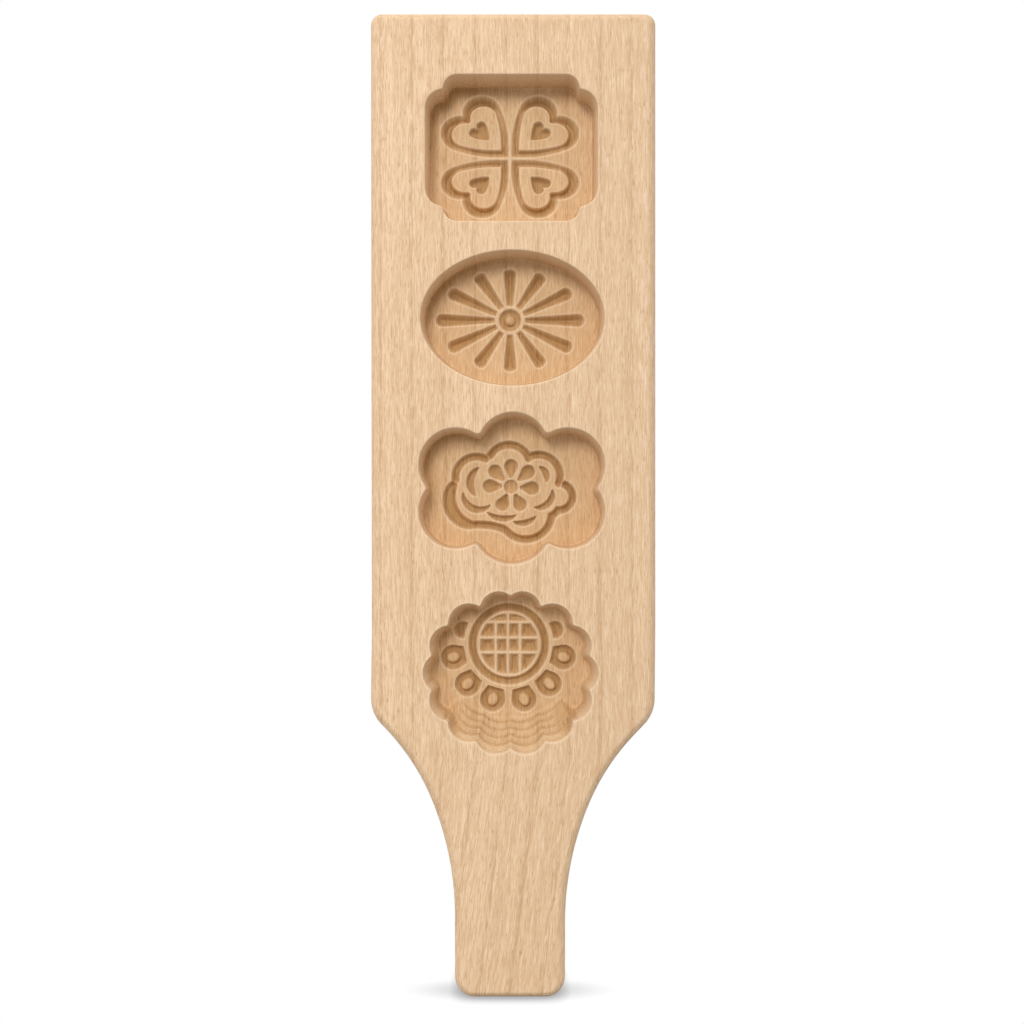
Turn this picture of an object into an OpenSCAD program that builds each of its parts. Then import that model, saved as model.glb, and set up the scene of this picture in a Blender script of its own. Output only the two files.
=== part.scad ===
// Wooden mooncake mold: one plank with a blade, a neck and a handle, and four carved moulds
// in a row down the blade. Each mould leaves its outline and its relief on a cake.
// The board is drawn lying flat: x across, y up the board from the handle's end, and z out of
// the carved face. It is then stood on the handle's end, with the carved face towards -Y.

/* [Board] */
// Width of the blade
blade_w = 100; // [90:1:120]
// Thickness of the plank
board_t = 23; // [20:0.5:30]
// Radius of the blade's top corners
top_corner_r = 3.8; // [3:0.1:12]
// Radius that every edge is eased to
edge_r = 2.2; // [1:0.1:2.8]
// Wood above the highest mould
top_margin = 22; // [14:0.5:40]

/* [Handle] */
// Width of the handle
handle_w = 39; // [32:0.5:50]
// How far the handle stands to the right of the blade's middle
handle_shift = -1; // [-4:0.1:4]
// Length from the handle's end up to the lowest mould
handle_l = 85; // [80:0.5:120]
// Height of the shoulders above the bottom of the lowest mould
shoulder_rise = 19.6; // [12:0.2:24]
// Radius of the rounded shoulders
shoulder_r = 11.8; // [6:0.2:20]
// Radius of the hollow neck
neck_r = 95; // [70:1:110]
// Radius of the corners at the handle's end
end_corner_r = 7; // [4:0.5:12]

/* [Moulds] */
// Depth of the mould floors below the face
mould_depth = 12; // [8:0.5:14]
// Depth of the carving below the mould floors
carve_depth = 2.4; // [1:0.1:4]
// Draft of the mould walls, which lets a cake out, in degrees
draft = 5; // [2:0.5:10]
// How far the row of moulds stands to the right of the blade's middle
mould_shift = -0.5; // [-4:0.1:4]

/* [Clover mould] */
// Width of the plaque
clover_w = 60.5; // [52:0.5:70]
// Height of the plaque
clover_h = 51.4; // [48:0.2:60]
// Width of the step at each corner of the plaque
clover_step_w = 6.1; // [3:0.1:7]
// Height of the step at each corner of the plaque
clover_step_h = 5.3; // [3:0.1:7]
// Radius of the plaque's corners
clover_corner_r = 4.5; // [3:0.1:8]
// How far the clover lies below the middle of its plaque
clover_drop = 0.9; // [0:0.1:1.2]
// Width of the clover as a share of its leaves' own length
clover_spread_w = 1.05; // [0.9:0.01:1.1]
// Height of the clover as a share of its leaves' own length
clover_spread_h = 0.93; // [0.85:0.01:0.95]
// Distance of a leaf's tip from the middle
leaf_tip = 1.6; // [0.5:0.1:3]
// Distance of a leaf's lobes from the middle, along the leaf
leaf_lobe_y = 18.9; // [17.5:0.1:19.2]
// Distance of a leaf's lobes from its own middle line
leaf_lobe_x = 5.2; // [4.6:0.1:5.5]
// Radius of a leaf's lobes
leaf_lobe_r = 6.8; // [6.3:0.1:7.2]
// Distance from the middle to the tip of the heart left standing in each leaf
island_tip = 5.7; // [5:0.1:8]
// Distance from the middle to that heart's lobes, along the leaf
island_lobe_y = 17.7; // [16:0.1:18.5]
// Distance of that heart's lobes from its middle line
island_lobe_x = 4; // [3:0.1:4.2]
// Radius of that heart's lobes
island_lobe_r = 4.3; // [4.1:0.1:4.8]
// Distance from the middle to the tip of the small heart in each leaf
heart_tip = 10.1; // [9:0.1:12]
// Distance from the middle to the small heart's lobes, along the leaf
heart_lobe_y = 15.6; // [14:0.1:17]
// Distance of the small heart's lobes from its middle line
heart_lobe_x = 1.6; // [1:0.1:2]
// Radius of the small heart's lobes
heart_lobe_r = 1.8; // [1.2:0.1:2]
// Wood between the clover mould and the fluted one
clover_gap = 10.2; // [7:0.2:20]

/* [Fluted oval mould] */
// Width of the oval
oval_w = 64.5; // [56:0.5:72]
// Height of the oval
oval_h = 47.5; // [44:0.5:60]
// Number of flutes
flutes = 12; // [8:1:14]
// Clear floor between the flutes' ends and the wall
flute_margin = 3.9; // [2:0.1:6]
// How much the flutes lean towards the oval's length, from 1 for even angles
flute_lean = 0.81; // [0.7:0.01:1]
// Radius of a flute at its outer end
flute_r = 2.5; // [1.5:0.1:2.8]
// Radius of a flute at its inner end
flute_root_r = 1; // [0.6:0.1:1.2]
// Radius of the dish in the middle
dish_r = 4.1; // [3:0.1:5]
// Radius of the bead in the dish
bead_r = 2; // [1:0.1:2.4]
// Width of the ring round the dish
dish_ring_w = 1.4; // [1:0.1:2.5]
// Wood between the fluted mould and the blossom
oval_gap = 9.2; // [7:0.2:20]

/* [Blossom mould] */
// Radius of the four side lobes
side_lobe_r = 13; // [12:0.1:14]
// Distance across from the middle to the side lobes
side_lobe_x = 19.7; // [18.5:0.1:21]
// Distance up and down from the middle to the side lobes
side_lobe_y = 8.2; // [7.5:0.1:9]
// Radius of the top lobe
top_lobe_r = 12.6; // [12:0.1:13.5]
// Distance from the middle up to the top lobe
top_lobe_y = 14.2; // [13.5:0.1:16]
// Radius of the bottom lobe
foot_lobe_r = 14.2; // [13.5:0.1:15]
// Distance from the middle down to the bottom lobe
foot_lobe_y = 12.5; // [11.5:0.1:14]
// Width of the cloud groove round the flower
cloud_groove_w = 2.8; // [1.4:0.1:3.2]
// Width of the curls inside the cloud line, in the middle of their length
curl_w = 2.6; // [1.6:0.1:3]
// Number of petals
petals = 7; // [5:1:8]
// Radius of a petal's round end
petal_r = 2.5; // [1.6:0.1:2.7]
// Distance of a petal's round end from the middle
petal_reach = 7.4; // [6.6:0.1:8]
// Distance of a petal's point from the middle
petal_root = 3.2; // [3:0.1:4]
// Radius of the flower's eye
eye_r = 2.6; // [1.5:0.1:2.8]
// Wood between the blossom and the sunflower
blossom_gap = 8.8; // [7:0.2:20]

/* [Sunflower mould] */
// Width of the scalloped rim
sun_w = 61.5; // [56:0.5:68]
// Height of the scalloped rim
sun_h = 58.5; // [54:0.5:66]
// Number of scallops
scallops = 14; // [12:2:16]
// Radius of a scallop
scallop_r = 7.3; // [7:0.1:8]
// Number of steps down to the floor
terraces = 5; // [3:1:6]
// Width of the floor as a share of the rim's
floor_share_w = 0.86; // [0.84:0.01:0.87]
// Height of the floor as a share of the rim's
floor_share_h = 0.78; // [0.76:0.01:0.84]
// Distance from the highest point of the rim down to the middle of the disc
disc_drop = 21; // [18:0.1:22]
// Radius of the latticed disc
disc_r = 10.9; // [9:0.1:11]
// Width of the groove round the disc
disc_groove_w = 3.3; // [1.5:0.1:3.5]
// Width of the ridge on each side of that groove
disc_ridge_w = 0.9; // [0.8:0.1:1.4]
// Spacing of the upright lattice bars
lattice_pitch_w = 4.4; // [4:0.1:5]
// Spacing of the level lattice bars
lattice_pitch_h = 5.3; // [4.5:0.1:5.5]
// Height of the middle level bar above the disc's middle
lattice_rise = 2.5; // [0:0.1:2.8]
// Width of a lattice bar
lattice_bar_w = 0.9; // [0.6:0.1:1.2]
// Number of seed petals below the disc
seed_petals = 6; // [4:2:6]
// Angle from one seed petal to the next
seed_pitch = 31; // [30:0.5:33]
// Radius of a seed petal's round end
seed_petal_r = 4.5; // [3.5:0.1:4.7]
// Radius of the seed left standing in each petal
seed_r = 1.9; // [1.2:0.1:2.2]
// Radius of the half petal on each side of the disc
half_petal_r = 3.4; // [2.5:0.1:3.6]

/* [Hidden] */
$fn = 96;
hull_fn = 32;
wood = [0.91, 0.78, 0.63];

// Cuts overrun open space by this much
slack = 1;
half_w = blade_w / 2;
half_t = board_t / 2;
draft_in = mould_depth * tan(draft);

// Heights up the board of the moulds' middles, from the lowest to the highest
sun_y = handle_l + sun_h / 2;
blossom_y = sun_y + sun_h / 2 + blossom_gap + foot_lobe_y + foot_lobe_r;
oval_y = blossom_y + top_lobe_y + top_lobe_r + oval_gap + oval_h / 2;
clover_y = oval_y + oval_h / 2 + clover_gap + clover_h / 2;
board_l = clover_y + clover_h / 2 + top_margin;
shoulder_y = handle_l + shoulder_rise;

// The shoulder and the neck are two arcs that run into each other and into the straight sides
function handle_x(side) = handle_w / 2 + side * handle_shift;
function neck_sweep(side) = acos(1 - (half_w - handle_x(side)) / (shoulder_r + neck_r));
function neck_foot(side) = shoulder_y - (shoulder_r + neck_r) * sin(neck_sweep(side));
function neck_centre(side) = [handle_x(side) + neck_r, neck_foot(side)];
shoulder_centre = [half_w - shoulder_r, shoulder_y];

// The eased edge is an arc whose centre is a little nearer the corner than its radius, so it
// meets the face and the side at a fine angle, as a sanded edge does
ease_share = 0.97;

// Hollow and rounded stretches are eased a hair more than straight ones, and each cut overruns
// into the next, so no two of them share a surface or end together
hollow_ease_r = 1.02 * edge_r;
round_ease_r = 1.04 * edge_r;
ease_overrun = 1;
round_overrun = 0.6;

// A round end that overlaps its straight sides by a hair
overlap = 1.005;

// The bead's top lies this far below the mould floor
bead_drop = 0.3;

// The sunflower's steps shrink towards a point at this share of the rim's half height
shrink_share = 0.5;

// The half petals beside the disc stand this far outside its ridge, at this angle from the top
half_petal_out = 1.4;
half_petal_angle = 73;

// Bumps of the cloud line round the flower: across, up, radius
cloud_bumps = [
    [-0.8, 7.8, 7.8], [9.9, 4.1, 7.7], [17.4, -3.6, 4.8], [12.5, -6, 4.2], [5.3, -9.7, 9.3],
    [-5, -9, 5.4], [-10.5, -8, 5.8], [-15.4, -5.2, 8], [-12.5, 3.3, 7.6]
];

// Curls inside the cloud line: start, middle and end of each
curls = [
    [[-11.3, 7], [-14.7, 2.4], [-12.6, -3.5]], [[-17, -1.6], [-13.6, -7.4], [-7.3, -6.5]],
    [[-8.7, -9.3], [-3.4, -11.2], [2.2, -10.3]], [[0.5, -12.7], [5, -12.6], [9.2, -10.6]],
    [[8, -7.3], [12.9, -6], [14, -0.6]], [[9.9, 7.3], [12.7, 4.6], [12.6, 1.3]]
];

function turned(r, angle) = [r * cos(angle), r * sin(angle)];

// Centre of the circle through three points
function circle_centre(a, b, c) =
    let (
        p = b - a,
        q = c - a,
        d = 2 * (p.x * q.y - p.y * q.x)
    )
    a + [q.y * (p * p) - p.y * (q * q), p.x * (q * q) - q.x * (p * p)] / d;

// Sector of a disc between two angles, of at most a quarter turn
module sector(r, from, to) {
    intersection() {
        circle(r);
        polygon([[0, 0], turned(2 * r, from), turned(2 * r, to)]);
    }
}

// Half of the board's outline, to the right of the blade's middle
module half_outline(side) {
    hx = handle_x(side);
    foot = neck_foot(side);
    square([hx - end_corner_r, foot]);
    translate([0, end_corner_r]) square([hx, foot - end_corner_r]);
    translate([hx - end_corner_r, end_corner_r]) sector(end_corner_r, -90, 0);
    difference() {
        polygon([[0, foot], neck_centre(side), shoulder_centre, [0, shoulder_y]]);
        translate(neck_centre(side)) circle(neck_r);
    }
    translate(shoulder_centre) sector(shoulder_r, -neck_sweep(side), 0);
    translate([0, shoulder_y]) square([half_w, board_l - top_corner_r - shoulder_y]);
    translate([0, shoulder_y]) square([half_w - top_corner_r, board_l - shoulder_y]);
    translate([half_w - top_corner_r, board_l - top_corner_r]) sector(top_corner_r, 0, 90);
}

module outline() {
    half_outline(1);
    mirror([1, 0]) half_outline(-1);
}

// Section of the wood taken off an edge: x into the wood, y up to the face at 0
module ease_section(r) {
    centre = ease_share * r;
    difference() {
        translate([-slack, -centre]) square([centre + slack, centre + slack]);
        translate([centre, -centre]) circle(r);
    }
}

// Takes off a straight edge of the face, with the wood to the left of the way from a to b
module ease_line(a, b) {
    way = b - a;
    translate([a.x, a.y, half_t])
        rotate([0, 0, atan2(way.y, way.x)])
            translate([-ease_overrun, 0, 0]) rotate([90, 0, 90])
                linear_extrude(norm(way) + 2 * ease_overrun) ease_section(edge_r);
}

// Takes off the edge of a rounded stretch
module ease_round(centre, r, from, sweep) {
    over = round_overrun / r * 180 / PI;
    translate([centre.x, centre.y, half_t]) rotate([0, 0, from - over])
        rotate_extrude(angle = sweep + 2 * over)
            translate([r, 0]) mirror([1, 0]) ease_section(round_ease_r);
}

// Takes off the edge of a hollow stretch, where the wood lies outside the arc
module ease_hollow(centre, r, from, sweep) {
    over = ease_overrun / r * 180 / PI;
    translate([centre.x, centre.y, half_t]) rotate([0, 0, from - over])
        rotate_extrude(angle = sweep + 2 * over) translate([r, 0]) ease_section(hollow_ease_r);
}

// Takes off all the edges of one face
module eased_edges() {
    for (side = [-1, 1]) mirror([side < 0 ? 1 : 0, 0, 0]) {
        hx = handle_x(side);
        foot = neck_foot(side);
        sweep = neck_sweep(side);
        ease_round([hx - end_corner_r, end_corner_r], end_corner_r, -90, 90);
        ease_line([hx, end_corner_r], [hx, foot]);
        ease_hollow(neck_centre(side), neck_r, 180 - sweep, sweep);
        ease_round(shoulder_centre, shoulder_r, -sweep, sweep);
        ease_line([half_w, shoulder_y], [half_w, board_l - top_corner_r]);
        ease_round([half_w - top_corner_r, board_l - top_corner_r], top_corner_r, 0, 90);
    }
    ease_line([end_corner_r - handle_x(-1), 0], [handle_x(1) - end_corner_r, 0]);
    ease_line([half_w - top_corner_r, board_l], [top_corner_r - half_w, board_l]);
}

// The plank, sawn to its outline and with its edges eased
module plank() {
    difference() {
        linear_extrude(board_t, center = true) outline();
        eased_edges();
        mirror([0, 0, 1]) eased_edges();
    }
}

// Puts a mould's middle on the face, with z = 0 at the face
module on_face(y) {
    translate([mould_shift, y, half_t]) children();
}

// Round recess of a mould: r at the face, less at the floor by the draft
module drafted_recess(r) {
    translate([0, 0, -mould_depth])
        cylinder(h = mould_depth + slack, r1 = r - draft_in, r2 = r + slack * tan(draft));
}

// Carves a flat figure into the mould floor
module carved() {
    translate([0, 0, -mould_depth - carve_depth]) linear_extrude(carve_depth + slack) children();
}

// Half the angle at the tip of a heart, from its tip and its lobes
function heart_angle(tip, x, y, r) = atan2(x, y - tip) + asin(r / norm([x, y - tip]));

// Heart on the y axis: straight sides from a tip at half the angle a, and two round lobes
module heart(a, x, y, r) {
    tip = y - (x * cos(a) + r) / sin(a);
    side = [x + r * cos(a), y - r * sin(a)];
    polygon([[0, tip], side, [x, y], [-x, y], [-side.x, side.y]]);
    for (way = [-1, 1]) translate([way * x, y]) circle(r * overlap);
}

// Teardrop on the y axis, from a point at root to a round end at reach
module teardrop(root, reach, r) {
    a = asin(r / (reach - root));
    side = [r * cos(a), reach - r * sin(a)];
    polygon([[0, root], side, [0, reach], [-side.x, side.y]]);
    translate([0, reach]) circle(r * overlap);
}

// Rectangular block of the plaque, with drafted walls and round corners
module plaque_block(w, h) {
    hull() for (x = [-1, 1], y = [-1, 1])
        translate([x * (w / 2 - clover_corner_r), y * (h / 2 - clover_corner_r), 0])
            drafted_recess(clover_corner_r, $fn = hull_fn);
}

// Stepped plaque with a clover of four heart-shaped leaves
module clover_mould() {
    leaf_a = heart_angle(leaf_tip, leaf_lobe_x, leaf_lobe_y, leaf_lobe_r);
    island_a = heart_angle(island_tip, island_lobe_x, island_lobe_y, island_lobe_r);
    heart_a = heart_angle(heart_tip, heart_lobe_x, heart_lobe_y, heart_lobe_r);
    on_face(clover_y) {
        plaque_block(clover_w, clover_h - 2 * clover_step_h);
        plaque_block(clover_w - 2 * clover_step_w, clover_h);
        translate([0, -clover_drop, 0]) scale([clover_spread_w, clover_spread_h, 1])
            carved() for (leaf = [0 : 3]) rotate(45 + 90 * leaf) {
                difference() {
                    heart(leaf_a, leaf_lobe_x, leaf_lobe_y, leaf_lobe_r);
                    heart(island_a, island_lobe_x, island_lobe_y, island_lobe_r);
                }
                heart(heart_a, heart_lobe_x, heart_lobe_y, heart_lobe_r);
            }
    }
}

// Oval with tapered flutes round a dished bead
module oval_mould() {
    end_w = oval_w / 2 - draft_in - flute_margin;
    end_h = oval_h / 2 - draft_in - flute_margin;
    root = dish_r + dish_ring_w + flute_root_r;
    on_face(oval_y) {
        scale([oval_w / oval_h, 1, 1]) drafted_recess(oval_h / 2);
        translate([0, 0, -mould_depth]) {
            for (i = [0 : flutes - 1]) {
                way = atan2(flute_lean * sin(360 * i / flutes), cos(360 * i / flutes));
                reach = end_w * end_h / norm([end_h * cos(way), end_w * sin(way)]) - flute_r;
                rotate([0, 0, way]) {
                    translate([root, 0, 0]) rotate([0, 90, 0])
                        cylinder(h = reach - root, r1 = flute_root_r, r2 = flute_r);
                    translate([root, 0, 0]) sphere(flute_root_r * overlap);
                    translate([reach, 0, 0]) sphere(flute_r * overlap);
                }
            }
            translate([0, 0, -bead_r - bead_drop]) difference() {
                cylinder(h = bead_r + bead_drop + slack, r = dish_r);
                sphere(bead_r);
            }
        }
    }
}

// Cloud line at a given distance outside its middle
module cloud(out) {
    polygon([for (bump = cloud_bumps) [bump.x, bump.y]]);
    for (bump = cloud_bumps) translate([bump.x, bump.y]) circle(bump[2] + out);
}

// Circle that bulges past the middle of a curl by some distance, and goes through its two ends
module curl_circle(curl, bulge) {
    chord = (curl[0] + curl[2]) / 2;
    out = (curl[1] - chord) / norm(curl[1] - chord);
    centre = circle_centre(curl[0], curl[1] + bulge * out, curl[2]);
    translate(centre) circle(norm(curl[0] - centre));
}

// Six-lobed blossom with a flower in a cloud line
module blossom_mould() {
    lobes = [
        [0, top_lobe_y, top_lobe_r], [-side_lobe_x, side_lobe_y, side_lobe_r],
        [-side_lobe_x, -side_lobe_y, side_lobe_r], [0, -foot_lobe_y, foot_lobe_r],
        [side_lobe_x, -side_lobe_y, side_lobe_r], [side_lobe_x, side_lobe_y, side_lobe_r]
    ];
    on_face(blossom_y) {
        for (lobe = lobes) translate([lobe.x, lobe.y, 0]) drafted_recess(lobe[2]);
        translate([0, 0, -mould_depth]) linear_extrude(mould_depth + slack)
            polygon([for (lobe = lobes) [lobe.x, lobe.y]]);
        carved() {
            difference() {
                cloud(cloud_groove_w / 2);
                cloud(-cloud_groove_w / 2);
            }
            for (curl = curls) difference() {
                curl_circle(curl, curl_w / 2);
                curl_circle(curl, -curl_w / 2);
            }
            for (i = [0 : petals - 1]) rotate(360 * i / petals) teardrop(petal_root, petal_reach, petal_r);
            circle(eye_r);
        }
    }
}

// Scalloped outline from the rim, at 0, to the floor, at 1, shrunk towards a point above its middle
module scalloped(down) {
    share_w = 1 - (1 - floor_share_w) * down;
    share_h = 1 - (1 - floor_share_h) * down;
    ring_w = (sun_w / 2 - scallop_r) * share_w;
    ring_h = (sun_h / 2 - scallop_r) * share_h;
    centres = [for (i = [0 : scallops - 1])
        [ring_w * sin(360 * (i + 0.5) / scallops), ring_h * cos(360 * (i + 0.5) / scallops)]];
    translate([0, (1 - share_h) * shrink_share * sun_h / 2]) {
        polygon(centres);
        for (centre = centres) translate(centre) circle(scallop_r * (share_w + share_h) / 2);
    }
}

// Lattice of pits, with the bars between them left standing; the outer uprights stop at the top bar
module lattice(r) {
    top_bar = lattice_rise + lattice_pitch_h;
    difference() {
        circle(r);
        for (i = [-1 : 1]) {
            translate([i * lattice_pitch_w - lattice_bar_w / 2, -2 * r])
                square([lattice_bar_w, 2 * r + (i == 0 ? 2 * r : top_bar)]);
            translate([-2 * r, lattice_rise + i * lattice_pitch_h - lattice_bar_w / 2])
                square([4 * r, lattice_bar_w]);
        }
    }
}

// Scalloped round with stepped walls, a latticed disc and petals that each hold a seed
module sunflower_mould() {
    groove_in = disc_r + disc_ridge_w;
    groove_out = groove_in + disc_groove_w;
    petal_at = groove_out + disc_ridge_w;
    seed_at = petal_at + seed_petal_r;
    step = mould_depth / terraces;
    on_face(sun_y) {
        for (i = [1 : terraces]) {
            translate([0, 0, -i * step]) linear_extrude(i * step + slack)
                scalloped((i - 1) / (terraces - 1));
        }
        translate([0, sun_h / 2 - disc_drop, 0]) carved() {
            lattice(disc_r);
            difference() {
                circle(groove_out);
                circle(groove_in);
            }
            for (i = [0 : seed_petals - 1]) {
                rotate(180 + seed_pitch * (i - (seed_petals - 1) / 2)) difference() {
                    teardrop(petal_at - seed_petal_r, seed_at, seed_petal_r);
                    circle(petal_at);
                    translate([0, seed_at]) circle(seed_r);
                }
            }
            for (side = [-1, 1]) rotate(side * half_petal_angle) difference() {
                translate([0, petal_at + half_petal_out]) circle(half_petal_r);
                circle(petal_at);
            }
        }
    }
}

// The finished board, standing on the handle's end
module mold_board() {
    color(wood) rotate([90, 0, 0]) difference() {
        plank();
        clover_mould();
        oval_mould();
        blossom_mould();
        sunflower_mould();
    }
}

mold_board();
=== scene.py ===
"""Dressed model of a wooden mooncake mold: a beech board with four carved moulds, standing on white.

Sizes are in millimetres on the carved face: across to the right and up from the handle's end.
A carving cut goes from the face into the board, along +Y.
"""

import math
from functools import partial

import bmesh
import bpy
import numpy as np
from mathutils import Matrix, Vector, geometry, kdtree


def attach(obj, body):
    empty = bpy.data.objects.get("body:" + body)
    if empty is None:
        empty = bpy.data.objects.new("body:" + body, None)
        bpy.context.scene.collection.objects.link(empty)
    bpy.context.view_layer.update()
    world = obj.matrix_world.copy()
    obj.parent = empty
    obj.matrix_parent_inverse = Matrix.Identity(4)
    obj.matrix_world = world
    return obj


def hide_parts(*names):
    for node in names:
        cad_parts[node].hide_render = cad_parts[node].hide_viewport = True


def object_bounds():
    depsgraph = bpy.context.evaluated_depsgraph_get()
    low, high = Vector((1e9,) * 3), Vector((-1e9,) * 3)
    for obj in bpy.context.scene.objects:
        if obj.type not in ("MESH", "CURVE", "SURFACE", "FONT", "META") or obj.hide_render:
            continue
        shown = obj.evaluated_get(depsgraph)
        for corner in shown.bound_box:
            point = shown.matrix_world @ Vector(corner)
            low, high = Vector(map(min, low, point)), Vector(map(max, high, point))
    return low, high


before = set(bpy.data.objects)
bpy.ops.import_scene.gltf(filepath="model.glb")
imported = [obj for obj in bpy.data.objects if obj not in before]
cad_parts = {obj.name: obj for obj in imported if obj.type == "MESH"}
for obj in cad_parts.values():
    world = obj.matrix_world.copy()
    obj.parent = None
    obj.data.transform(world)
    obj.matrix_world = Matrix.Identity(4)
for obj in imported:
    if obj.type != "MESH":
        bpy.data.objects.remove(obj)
cad_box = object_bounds()

MM = 0.001
FACE_Y = cad_box[0].y / MM
BACK_Y = cad_box[1].y / MM
BOARD_LENGTH = cad_box[1].z / MM
HALF_BLADE = cad_box[1].x / MM

# Outline of the board
TOP_CORNER_R = 3.8
EDGE_R = 2.5
EDGE_STEPS = 7
EDGE_POWER = 1.55
SHOULDER_TOP = 105.1
SHOULDER_R = 13.2
SHOULDER_TURN = math.radians(43.3)
UPPER_NECK_R = 80.3
LOWER_NECK_R = 108.6
LOWER_NECK_TURN = math.radians(22.3)
HANDLE_HALF_W = 19.4
HANDLE_SHIFT = -1.0
END_CORNER_W = 6.8
END_CORNER_H = 7.4
END_CORNER_POINTS = 12
LEFT_LEAN = 0.35
RIGHT_FLARE = 0.2
LEAN_RAMP = 10
OUTLINE_STEP = 1.6

# Walls of the moulds
MOULD_DEPTH = 12.0
WALL_DRAFT = math.radians(5)
RIM_R = 0.5
RIM_POINTS = 5
FOOT_R = 0.6
FOOT_POINTS = 7
RIM_STEP = 0.7

# How much lower than their rims the floors of the blossom and the sunflower lie
BLOSSOM_LEAN = 1.0
SUN_LEAN = 0.9

# Triangles of the carved face
FINE_STEP = 0.34
FINE_REACH = 2.3
FLOOR_STEP = 1.1
PLAIN_STEP = 5.0
GUARD = 0.5
SAME_POINT = 1e-5
SAME_PLACE = 1e-6

# How finely loops are drawn before they are joined
DRAWN_STEP = 0.08

# How finely the carved figures are drawn
FIGURE_STEP = 0.3

# Middles of the moulds on the face
CLOVER_AT = (-0.5, 298.55)
OVAL_AT = (-0.15, 238.9)
BLOSSOM_AT = (-0.35, 179.15)
SUNFLOWER_AT = (-0.8, 114.4)


def directions(turns):
    """Unit vectors at angles from the right, in radians"""
    return np.stack((np.cos(turns), np.sin(turns)), axis=-1)


def heading(way):
    """Angle of a vector from the right, in radians"""
    return math.atan2(way[1], way[0])


def arc_points(centre, radius, start, end, step):
    """Points along an arc between two angles in radians, both ends included"""
    count = max(2, math.ceil(abs(end - start) * radius / step) + 1)
    return np.array(centre) + radius * directions(np.linspace(start, end, count))


def line_points(start, end, step):
    """Points along a straight line, both ends included"""
    start = np.array(start, float)
    end = np.array(end, float)
    count = max(2, math.ceil(np.linalg.norm(end - start) / step) + 1)
    return start + np.linspace(0, 1, count)[:, None] * (end - start)


def without_repeats(points, least=1e-4):
    """The same points without those that lie on the point before them"""
    gaps = np.linalg.norm(points - np.roll(points, 1, axis=0), axis=1)
    return points[gaps > least]


def half_outline(side):
    """Outline of one half of the board, from the middle of the handle's end to the middle of the top"""
    handle_x = HANDLE_HALF_W + side * HANDLE_SHIFT
    hollow_w = UPPER_NECK_R * (math.cos(LOWER_NECK_TURN) - math.cos(SHOULDER_TURN))
    hollow_w += LOWER_NECK_R * (1 - math.cos(LOWER_NECK_TURN))
    round_w = SHOULDER_R * (1 - math.cos(SHOULDER_TURN))
    slope_l = (HALF_BLADE - handle_x - hollow_w - round_w) / math.sin(SHOULDER_TURN)
    out_and_down = directions(-SHOULDER_TURN)
    shoulder_at = np.array((HALF_BLADE - SHOULDER_R, SHOULDER_TOP))
    slope_top = shoulder_at + SHOULDER_R * out_and_down
    slope_foot = slope_top - slope_l * np.array((math.sin(SHOULDER_TURN), math.cos(SHOULDER_TURN)))
    upper_at = slope_foot + UPPER_NECK_R * out_and_down
    lower_at = upper_at + (LOWER_NECK_R - UPPER_NECK_R) * directions(-LOWER_NECK_TURN)
    end_at = np.array((handle_x - END_CORNER_W, END_CORNER_H))
    end_round = (END_CORNER_W, END_CORNER_H) * directions(np.linspace(-math.pi / 2, 0, END_CORNER_POINTS))
    top_at = np.array((HALF_BLADE - TOP_CORNER_R, BOARD_LENGTH - TOP_CORNER_R))
    return np.vstack((
        line_points((side * HANDLE_SHIFT, 0), (handle_x - END_CORNER_W, 0), OUTLINE_STEP),
        end_at + end_round,
        line_points((handle_x, END_CORNER_H), (handle_x, lower_at[1]), OUTLINE_STEP),
        arc_points(lower_at, LOWER_NECK_R, math.pi, math.pi - LOWER_NECK_TURN, OUTLINE_STEP),
        arc_points(upper_at, UPPER_NECK_R, math.pi - LOWER_NECK_TURN, math.pi - SHOULDER_TURN, OUTLINE_STEP),
        line_points(slope_foot, slope_top, OUTLINE_STEP),
        arc_points(shoulder_at, SHOULDER_R, -SHOULDER_TURN, 0, OUTLINE_STEP / 2),
        line_points((HALF_BLADE, SHOULDER_TOP), (HALF_BLADE, top_at[1]), 2 * OUTLINE_STEP),
        arc_points(top_at, TOP_CORNER_R, 0, math.pi / 2, OUTLINE_STEP / 3),
        line_points((top_at[0], BOARD_LENGTH), (0, BOARD_LENGTH), 2 * OUTLINE_STEP),
    ))


def board_outline():
    """Outline of the board, anticlockwise as seen from the front, and the way out at each point"""
    right = half_outline(1)
    left = half_outline(-1) * (-1, 1)
    loop = without_repeats(np.vstack((right, left[::-1])))
    up = np.clip((loop[:, 1] - SHOULDER_TOP) / (BOARD_LENGTH - SHOULDER_TOP), 0, 1)
    full = np.minimum(1, LEAN_RAMP * up)
    loop[:, 0] += np.where(loop[:, 0] < 0, LEFT_LEAN * full * (1 - up), RIGHT_FLARE * full)
    way = np.roll(loop, -1, axis=0) - np.roll(loop, 1, axis=0)
    way /= np.linalg.norm(way, axis=1)[:, None]
    return loop, np.column_stack((way[:, 1], -way[:, 0]))


def ellipse_loop(half_w, half_h, step, inset=0.0):
    """Closed loop of points round an ellipse, moved in by an inset"""
    count = math.ceil(math.pi * (half_w + half_h) / step)
    way = directions(np.arange(count) * 2 * math.pi / count)
    half = np.array((half_w, half_h))
    out = way / half
    return half * way - inset * out / np.linalg.norm(out, axis=1)[:, None]


def circle_loop(radius, centre=(0, 0)):
    """Closed loop of points round a circle"""
    return np.array(centre) + ellipse_loop(radius, radius, FIGURE_STEP)


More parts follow.
